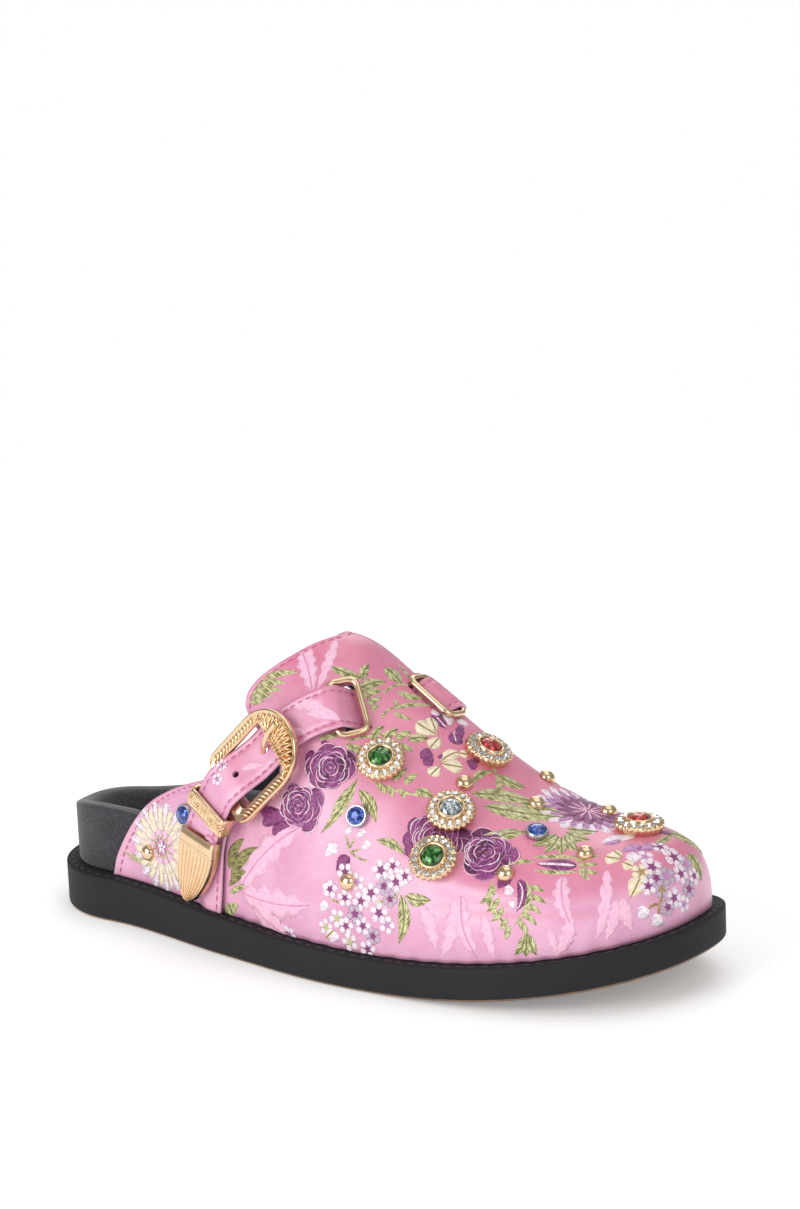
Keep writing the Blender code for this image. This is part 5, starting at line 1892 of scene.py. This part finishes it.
# Olive leaves and stems: root pixel, tip pixel, width, and the bend where there is one
OLIVE_LEAVES = [
    (262, 679, 299, 672, 2.7, 0.05), (255, 686, 287, 683, 2.7, 0.05), (251, 693, 282, 690, 2.6, 0.04),
    (249, 698, 273, 696, 2.4, 0.03), (250, 703, 265, 701, 2.0), (331, 667, 363, 678, 3.2, -0.06),
    (363, 680, 369, 664, 3.4, 0.08), (343, 680, 362, 678, 1.5), (359, 690, 386, 682, 4.0, 0.08),
    (362, 697, 383, 690, 2.8, 0.05), (366, 704, 382, 697, 2.4), (371, 710, 379, 704, 1.8),
    (385, 667, 402, 684, 4.4, 0.05), (397, 692, 423, 698, 2.8, -0.08), (414, 677, 433, 692, 5.0),
    (395, 709, 433, 706, 2.0, 0.06), (393, 713, 412, 720, 1.8), (395, 699, 398, 709, 2.0),
    (372, 741, 384, 726, 3.2, 0.1), (384, 741, 398, 729, 3.2, 0.1), (396, 741, 412, 731, 2.8, 0.1),
    (408, 740, 429, 738, 3.4, 0.05), (346, 744, 372, 751, 3.2, -0.08), (396, 744, 414, 751, 2.6),
    (393, 781, 407, 769, 3.2, 0.1), (404, 785, 419, 774, 2.8, 0.1), (415, 790, 433, 797, 3.4, 0.06),
    (376, 783, 386, 795, 2.6, 0.1), (387, 785, 393, 798, 2.6, 0.1), (398, 788, 405, 799, 2.4, 0.1),
    (357, 779, 321, 833, 3.4, 0.07), (353, 784, 329, 826, 2.2, -0.05), (359, 790, 376, 822, 4.6, 0.08),
    (377, 840, 405, 855, 3.4, 0.1), (401, 895, 399, 943, 4.4, 0.12), (405, 896, 431, 900, 4.8, -0.08),
    (473, 783, 493, 771, 3.0, 0.12), (497, 775, 526, 788, 3.4, -0.08), (497, 777, 499, 796, 2.6, 0.06),
    (472, 794, 540, 803, 4.6, 0.04), (484, 806, 570, 818, 5.2, -0.03), (520, 803, 569, 816, 3.4, 0.06),
    (492, 842, 526, 832, 4.4, 0.1), (480, 836, 502, 832, 2.0), (556, 834, 533, 846, 4.4, 0.1),
    (558, 836, 545, 853, 4.6, 0.08), (561, 837, 562, 854, 4.8), (564, 836, 578, 851, 4.8, -0.08),
    (566, 832, 590, 840, 4.4, -0.1), (568, 829, 598, 832, 3.2), (497, 886, 479, 904, 2.4, 0.1),
    (500, 896, 486, 912, 2.2, 0.1), (503, 906, 491, 922, 2.2, 0.1), (507, 917, 499, 930, 2.2, 0.1),
    (510, 925, 505, 940, 2.4), (524, 888, 545, 892, 2.2, 0.1), (525, 897, 547, 904, 2.2, 0.1),
    (524, 906, 541, 914, 2.2, 0.1), (521, 914, 537, 926, 2.2, 0.1), (517, 920, 528, 937, 2.4, 0.1),
    (494, 880, 507, 925, 2.4, -0.2), (526, 880, 514, 925, 2.4, 0.2), (525, 935, 515, 955, 3.6, 0.1),
    (527, 935, 526, 957, 3.6), (529, 935, 537, 955, 3.8, -0.1), (532, 858, 582, 858, 1.5, 0.05),
    (533, 870, 582, 871, 1.5, -0.05), (508, 865, 535, 862, 1.8, 0.1), (574, 861, 600, 855, 1.7),
    (577, 865, 600, 864, 1.7), (578, 869, 599, 874, 1.9), (579, 872, 591, 881, 1.6),
    (656, 845, 672, 835, 3.0), (668, 834, 702, 854, 4.2, 0.08), (687, 853, 701, 881, 3.4, 0.1),
    (228, 903, 246, 923, 5.0, 0.1), (229, 893, 247, 884, 2.6), (318, 739, 345, 733, 2.2),
]
OLIVE_STEMS = [
    (249, 705, 272, 671, 0.8, 0.08), (356, 685, 374, 713, 0.9, 0.1), (383, 694, 411, 685, 0.9, 0.1),
    (398, 664, 428, 699, 1.1, 0.03), (381, 719, 396, 707, 0.9, 0.1), (344, 742, 428, 739, 0.9, 0.05),
    (370, 781, 432, 797, 0.9, -0.05), (494, 768, 497, 778, 1.2), (345, 835, 348, 850, 0.8, 0.1),
    (354, 838, 348, 849, 0.8, 0.1), (361, 848, 350, 851, 0.8, 0.1), (369, 861, 349, 850, 0.8, 0.1),
    (400, 893, 372, 901, 0.9, 0.1), (330, 899, 345, 905, 0.8), (337, 925, 345, 933, 0.8),
]
MOSS_LEAVES = [
    (229, 869, 244, 838, 4.0, 0.1), (231, 879, 259, 847, 4.6, 0.1), (229, 886, 252, 871, 3.6, 0.1),
]
weave("olive", OLIVE_LEAVES)
weave("olive", OLIVE_STEMS, "stem")
weave("moss", MOSS_LEAVES)
# Darker veins along the larger leaves
LEAF_VEIN = 0.45
VEINED_OLIVE = 3.0
MOSS_VEINS = [(*leaf[:4], LEAF_VEIN, *leaf[5:]) for leaf in OLIVE_LEAVES if leaf[4] >= VEINED_OLIVE]
weave("moss", MOSS_VEINS, "stem", layer=3)

# Tone-on-tone leaves, paler than the ground and hardly raised
BLUSH_LEAVES = [
    (336, 640, 317, 692, 4.5, 0.04), (301, 651, 312, 692, 8.0, 0.05), (309, 648, 314, 690, 5.0),
    (241, 887, 303, 826, 11.5, 0.06), (243, 893, 309, 905, 14.0, -0.05), (254, 905, 294, 936, 8.5, -0.1),
    (455, 898, 441, 958, 6.5, 0.1), (461, 896, 478, 958, 7.0, -0.08), (563, 876, 571, 925, 7.0, -0.08),
    (571, 916, 557, 956, 6.0, 0.08), (549, 930, 557, 956, 4.0), (607, 870, 596, 940, 5.0, 0.05),
    (616, 900, 606, 940, 5.0, 0.06), (623, 898, 632, 930, 6.0, -0.06), (420, 905, 436, 950, 6.0, 0.08),
    (484, 915, 494, 958, 5.0),
]
weave("blush", BLUSH_LEAVES, "lobed")
VEINED_BLUSH = 7.0
BLUSH_VEINS = [(*leaf[:4], LEAF_VEIN, *leaf[5:]) for leaf in BLUSH_LEAVES if leaf[4] >= VEINED_BLUSH]
weave("rose", BLUSH_VEINS, "stem", layer=3)

# Peonies, two beside the buckle and two behind the lower brooches: pixel of the middle, radius, seed
PEONIES = [(331, 768, 9.2, 3), (299, 805, 9.6, 8), (436, 838, 11.0, 5), (486, 853, 10.0, 12)]
for x, y, radius, seed in PEONIES:
    peony(vamp_cloth, on_cloth(vamp_cloth, (x, y)), radius, seed)

# Single petals and threads about the flower heads, in the same columns as the leaves
PLUM_PETALS = [
    (446, 729, 433, 714, 5.0), (455, 729, 465, 733, 5.6), (452, 731, 458, 745, 5.2),
    (434, 757, 420, 752, 4.6), (434, 758, 424, 765, 3.8), (437, 757, 449, 758, 3.2),
    (466, 761, 478, 766, 4.2), (536, 864, 577, 866, 4.2, 0.02), (516, 912, 520, 879, 4.6, -0.2),
    (498, 889, 511, 877, 4.4, 0.15), (336, 871, 350, 857, 4.6, 0.1), (656, 832, 674, 834, 2.4),
    (288, 812, 260, 810, 6.0, 0.1), (288, 818, 262, 824, 5.5, -0.1), (292, 824, 272, 834, 5.0, -0.1),
    (322, 752, 330, 742, 5.0), (316, 760, 306, 754, 5.0), (418, 842, 403, 836, 6.0),
    (420, 848, 404, 850, 6.0), (424, 830, 408, 822, 6.0),
]
WHITE_PETALS = [
    (450, 726, 447, 712, 4.2), (457, 722, 467, 723, 4.2), (440, 714, 431, 712, 3.0),
    (504, 894, 514, 890, 4.2, 0.2), (508, 903, 516, 905, 3.2), (325, 856, 338, 845, 4.8, 0.05),
    (345, 833, 352, 827, 3.2), (356, 836, 366, 831, 3.2), (361, 848, 371, 843, 3.6),
    (324, 894, 331, 885, 4.6), (320, 910, 328, 903, 4.2), (330, 942, 338, 933, 4.4),
    (600, 843, 634, 836, 3.8, 0.05), (638, 918, 648, 908, 5.0), (652, 926, 662, 916, 5.0),
    (625, 857, 639, 857, 4.2),
]
WHITE_LINES = [
    (538, 864, 575, 866, 0.8, 0.02), (517, 910, 519, 882, 0.6, -0.2), (436, 717, 446, 728, 0.5),
    (456, 742, 453, 732, 0.5),
]
CREAM_PETALS = [
    (438, 735, 416, 722, 5.4, 0.05), (436, 732, 430, 717, 4.4), (440, 737, 430, 748, 5.2),
    (440, 762, 459, 752, 4.8, 0.05), (441, 764, 463, 768, 4.8), (440, 766, 430, 776, 4.8),
    (458, 753, 468, 755, 3.2), (621, 860, 605, 857, 4.4), (622, 857, 613, 851, 3.8),
    (622, 862, 633, 867, 4.4), (630, 898, 640, 878, 6.0), (326, 938, 334, 930, 4.0),
]
weave("plum", PLUM_PETALS, "petal")
weave("white", WHITE_PETALS, "petal", layer=1)
weave("white", WHITE_LINES, "stem", layer=4)
weave("cream", CREAM_PETALS, "petal", layer=1)
CREAM_THREAD = 0.5
CREAM_SHADES = [(*petal[:4], CREAM_THREAD, *petal[5:]) for petal in CREAM_PETALS]
weave("tan", CREAM_SHADES, "stem", layer=4)

# Blossoms in two clusters, on the side and at the toe: pixel of the heart, radius, other silks than plum
# and white for heart and petals
BLOSSOM_TURN = 0.7
BLOSSOMS = [
    (381, 870, 3.9), (396, 882, 3.7), (371, 893, 3.9), (355, 914, 3.7, "plum", "ash"), (379, 913, 3.9),
    (337, 918, 3.6, "olive"), (363, 926, 3.5), (350, 942, 3.6, "olive"), (368, 949, 3.5),
    (357, 882, 3.3, "mauve"), (390, 899, 3.2, "plum", "ash"), (345, 898, 3.2), (345, 872, 3.4),
    (330, 889, 3.4), (361, 901, 3.6), (346, 926, 3.4), (373, 936, 3.4, "plum", "ash"),
    (387, 925, 3.4, "mauve"), (393, 866, 3.2), (405, 876, 3.2), (341, 956, 3.2), (357, 960, 3.2),
    (326, 927, 3.2, "olive"), (384, 886, 3.4, "plum", "ash"), (652, 867, 4.0), (674, 857, 4.4),
    (656, 878, 3.6, "plum", "ash"), (689, 889, 3.8, "plum", "ash"), (674, 898, 3.8),
    (667, 876, 3.8, "mauve", "ash"), (641, 872, 3.6, "tan", "cream"), (645, 857, 3.4, "mauve"),
    (681, 874, 3.6), (662, 889, 3.4, "tan", "ash"), (660, 847, 3.4), (686, 864, 3.4, "mauve", "ash"),
    (648, 886, 3.4), (668, 907, 3.4, "plum", "ash"), (684, 904, 3.2, "mauve"), (694, 876, 3.2),
]
for number, (x, y, radius, *silks) in enumerate(BLOSSOMS):
    blossom(vamp_cloth, on_cloth(vamp_cloth, (x, y)), radius, number * BLOSSOM_TURN, *silks)
MAUVE_PETALS = [
    (622, 852, 641, 845, 4.2), (640, 851, 655, 844, 4.2), (604, 845, 620, 840, 3.0),
]
weave("mauve", MAUVE_PETALS, "petal", layer=1)
TAN_STEMS = [(648, 909, 659, 904, 0.9, 0.1), (659, 905, 663, 893, 0.9), (659, 905, 659, 915, 0.9)]
weave("tan", TAN_STEMS, "stem")

# Chrysanthemum on the toe ridge: plum middle, mauve petals and a white outer row
# Each row: silk, inner and outer radius, petals, their width, turn of the first, outline, layer
TOE_FLOWER_PIXEL = (588, 811)
TOE_FLOWER = [
    ("white", 9.0, 18.5, 21, 4.2, 0.1, "petal", 0),
    ("mauve", 6.0, 15.5, 19, 3.8, 0.3, "petal", 1),
    ("plum", 1.0, 11.5, 15, 3.6, 0.0, "petal", 3),
    ("blush", 0.5, 7.0, 11, 0.7, 0.0, "stem", 5),
]
toe_centre = on_cloth(vamp_cloth, TOE_FLOWER_PIXEL)
for silk, *petals in TOE_FLOWER:
    ring_of_petals(silk, vamp_cloth, toe_centre, *petals)

# The other side of the vamp carries the same cloth, turned over and set further back. Patches that would lie
# in sight, near the ridge or the edges, or that the other side would stretch, are left out there.
MIRROR_SHIFT = -5.0
MIRROR_CLEAR = 0.14
MIRROR_EDGE = 1.0
MIRROR_TOE = SOLE_LENGTH - 4.0
HIDDEN_FACING = -0.15
LEAST_STRETCH = 0.6
MOST_STRETCH = 1.5
vamp_finder = KDTree(len(vamp_places))
for number, (point, turn, station) in enumerate(vamp_places):
    vamp_finder.insert(point, number)
vamp_finder.balance()


def turned_over(point):
    """Place on the medial side that mirrors one on the lateral side, or None near the ridge and the edges."""
    turn, station = vamp_places[vamp_finder.find(point)[1]][1:]
    moved = station + MIRROR_SHIFT
    if turn > -MIRROR_CLEAR or moved < vamp_rear[MEDIAL](1 + turn) + MIRROR_EDGE:
        return None
    return Vector(over_foot(-turn, min(moved, MIRROR_TOE), 0.0))


for silk, root, tip, width, outline, bend, layer in list(laid_patches):
    ends = turned_over(root), turned_over(tip)
    if None in ends:
        continue
    near, facing = vamp_cloth.find_nearest((ends[0] + ends[1]) / 2)[:2]
    hidden = facing.dot((camera_place - near).normalized()) < HIDDEN_FACING
    stretch = (ends[1] - ends[0]).length / (tip - root).length
    if hidden and LEAST_STRETCH < stretch < MOST_STRETCH:
        lay_patch(silk, vamp_cloth, *ends, width, outline, -bend, layer)

# Wings: a large chrysanthemum on each, white round cream, with an olive ring and a small star. Its place is a
# pixel on the lateral wing, and a station and height on the medial one. Columns as on the toe.
LATERAL_FLOWER_PIXEL = (163, 847)
MEDIAL_FLOWER = (74.0, 0.12)
WING_FLOWER = [
    ("white", 7.0, 16.5, 15, 6.4, 0.0, "petal", 0),
    ("cream", 5.5, 14.5, 15, 4.6, 0.2, "petal", 2),
    ("cream", 4.5, 10.5, 13, 4.6, 0.0, "petal", 4),
    ("white", 6.0, 15.5, 30, 0.4, 0.1, "stem", 6),
    ("blush", 2.8, 6.8, 10, 3.6, 0.0, "petal", 6),
    ("olive", 2.9, 4.6, 11, 1.5, 0.0, "bud", 8),
    ("white", 0.2, 2.7, 5, 1.3, 0.3, "leaf", 9),
]
# Scalloped outline of the blush petals: radius, scallops, width of the thread, turn of the first, layer
WING_SCALLOPS = (6.2, 10, 0.5, 0.3, 8)
wing_centres = {
    LATERAL: on_cloth(quarter_cloths[LATERAL], LATERAL_FLOWER_PIXEL),
    MEDIAL: Vector(lifted(MEDIAL, *MEDIAL_FLOWER, 0.0)),
}
for side, centre in wing_centres.items():
    for silk, *petals in WING_FLOWER:
        ring_of_petals(silk, quarter_cloths[side], centre, *petals)
    ring_of_scallops("white", quarter_cloths[side], centre, *WING_SCALLOPS)
BINDING_LEAVES = [(112, 879, 122, 851, 2.2, 0.05), (119, 881, 127, 857, 1.8, 0.05)]
weave("olive", BINDING_LEAVES, cloth=quarter_cloths[LATERAL], layer=1)

# Strap: pale leaves along it and two small blossoms beyond the holes
STRAP_BLOSSOMS = [(222, 765), (217, 779)]
STRAP_BLOSSOM_RADIUS = 2.3
STRAP_BLOSSOM_TURN = 0.5
for number, pixel in enumerate(STRAP_BLOSSOMS):
    centre = on_cloth(strap_cloth, pixel)
    blossom(strap_cloth, centre, STRAP_BLOSSOM_RADIUS, number * STRAP_BLOSSOM_TURN, "mauve")
# Leaves: turn along the strap; shift across it, width and half length in millimetres
STRAP_LEAVES = [
    (-0.52, -5.0, 3.0, 4.5),
    (-0.47, 4.0, 3.2, 4.5),
    (-0.425, -3.0, 5.6, 7.6),
    (-0.385, 2.6, 5.0, 7.2),
    (-0.61, 2.0, 3.0, 4.5),
    (0.24, -3.0, 3.0, 4.5),
    (0.31, 3.5, 3.2, 4.5),
    (0.39, -2.0, 3.0, 4.5),
    (0.47, 3.0, 3.0, 4.5),
    (0.56, -3.0, 3.2, 4.5),
    (0.65, 2.0, 3.0, 4.5),
]
STRAP_LEAF_SLANT = 0.5
STRAP_LEAF_BEND = 0.08
for turn, offset, width, half_length in STRAP_LEAVES:
    across, along, up = strap_axes(turn)
    middle = Vector(strap_point(turn)) + Vector(across) * offset * MILLIMETRE
    run = (Vector(along) + Vector(across) * STRAP_LEAF_SLANT).normalized() * half_length * MILLIMETRE
    lay_patch("blush", strap_cloth, middle - run, middle + run, width, "leaf", STRAP_LEAF_BEND)


# Silk floats: a painted highlight along each bundle of threads, painted shade between, slanting over the
# patch, uneven.
# The threads are 0.4 mm apart and their bundles are drawn at 0.6 mm, so that they show.
BUNDLE = 0.6
BUNDLE_LENGTH = 3.2
BUNDLE_SLANT = math.radians(32)


def silk_floats(name, light, dark):
    """Material of one silk, from the painted highlight on its threads to the painted shade between them."""
    material, tree, shader = new_material(
        f"{name}_silk_floats", light, 0.46, Sheen_Weight=0.2, Sheen_Roughness=0.4, Specular_IOR_Level=0.5)
    chart = add_node(tree, "ShaderNodeUVMap").outputs["UV"]
    slanted = add_node(tree, "ShaderNodeMapping", {"Rotation": (0.0, 0.0, BUNDLE_SLANT)}, {"Vector": chart})
    drawn = add_node(
        tree, "ShaderNodeMapping", {"Scale": (1 / BUNDLE_LENGTH, 1 / BUNDLE, 1.0)}, {"Vector": slanted})
    bundles = add_node(
        tree, "ShaderNodeTexNoise", {"Scale": 1.0, "Detail": 3.0, "Roughness": 0.6}, {"Vector": drawn})
    ramp = add_node(tree, "ShaderNodeMapRange", {"From Min": 0.40, "From Max": 0.57}, {"Value": bundles})
    tone = add_node(
        tree, "ShaderNodeMix", {"A": linear(dark), "B": linear(light)}, {"Factor": ramp}, data_type="RGBA")
    bump = add_node(
        tree, "ShaderNodeBump", {"Strength": 0.8, "Distance": 0.18 * MILLIMETRE}, {"Height": bundles})
    feed(shader, Base_Color=tone, Normal=bump)
    return material


for silk, (light, dark) in SILKS.items():
    floats = silk_floats(silk, light, dark)
    pattern = finish_piece(f"{silk}_pattern", pattern_forms[silk], [floats])
    add_wall(pattern, PATCH_WALL, -1.0, 0, 0)
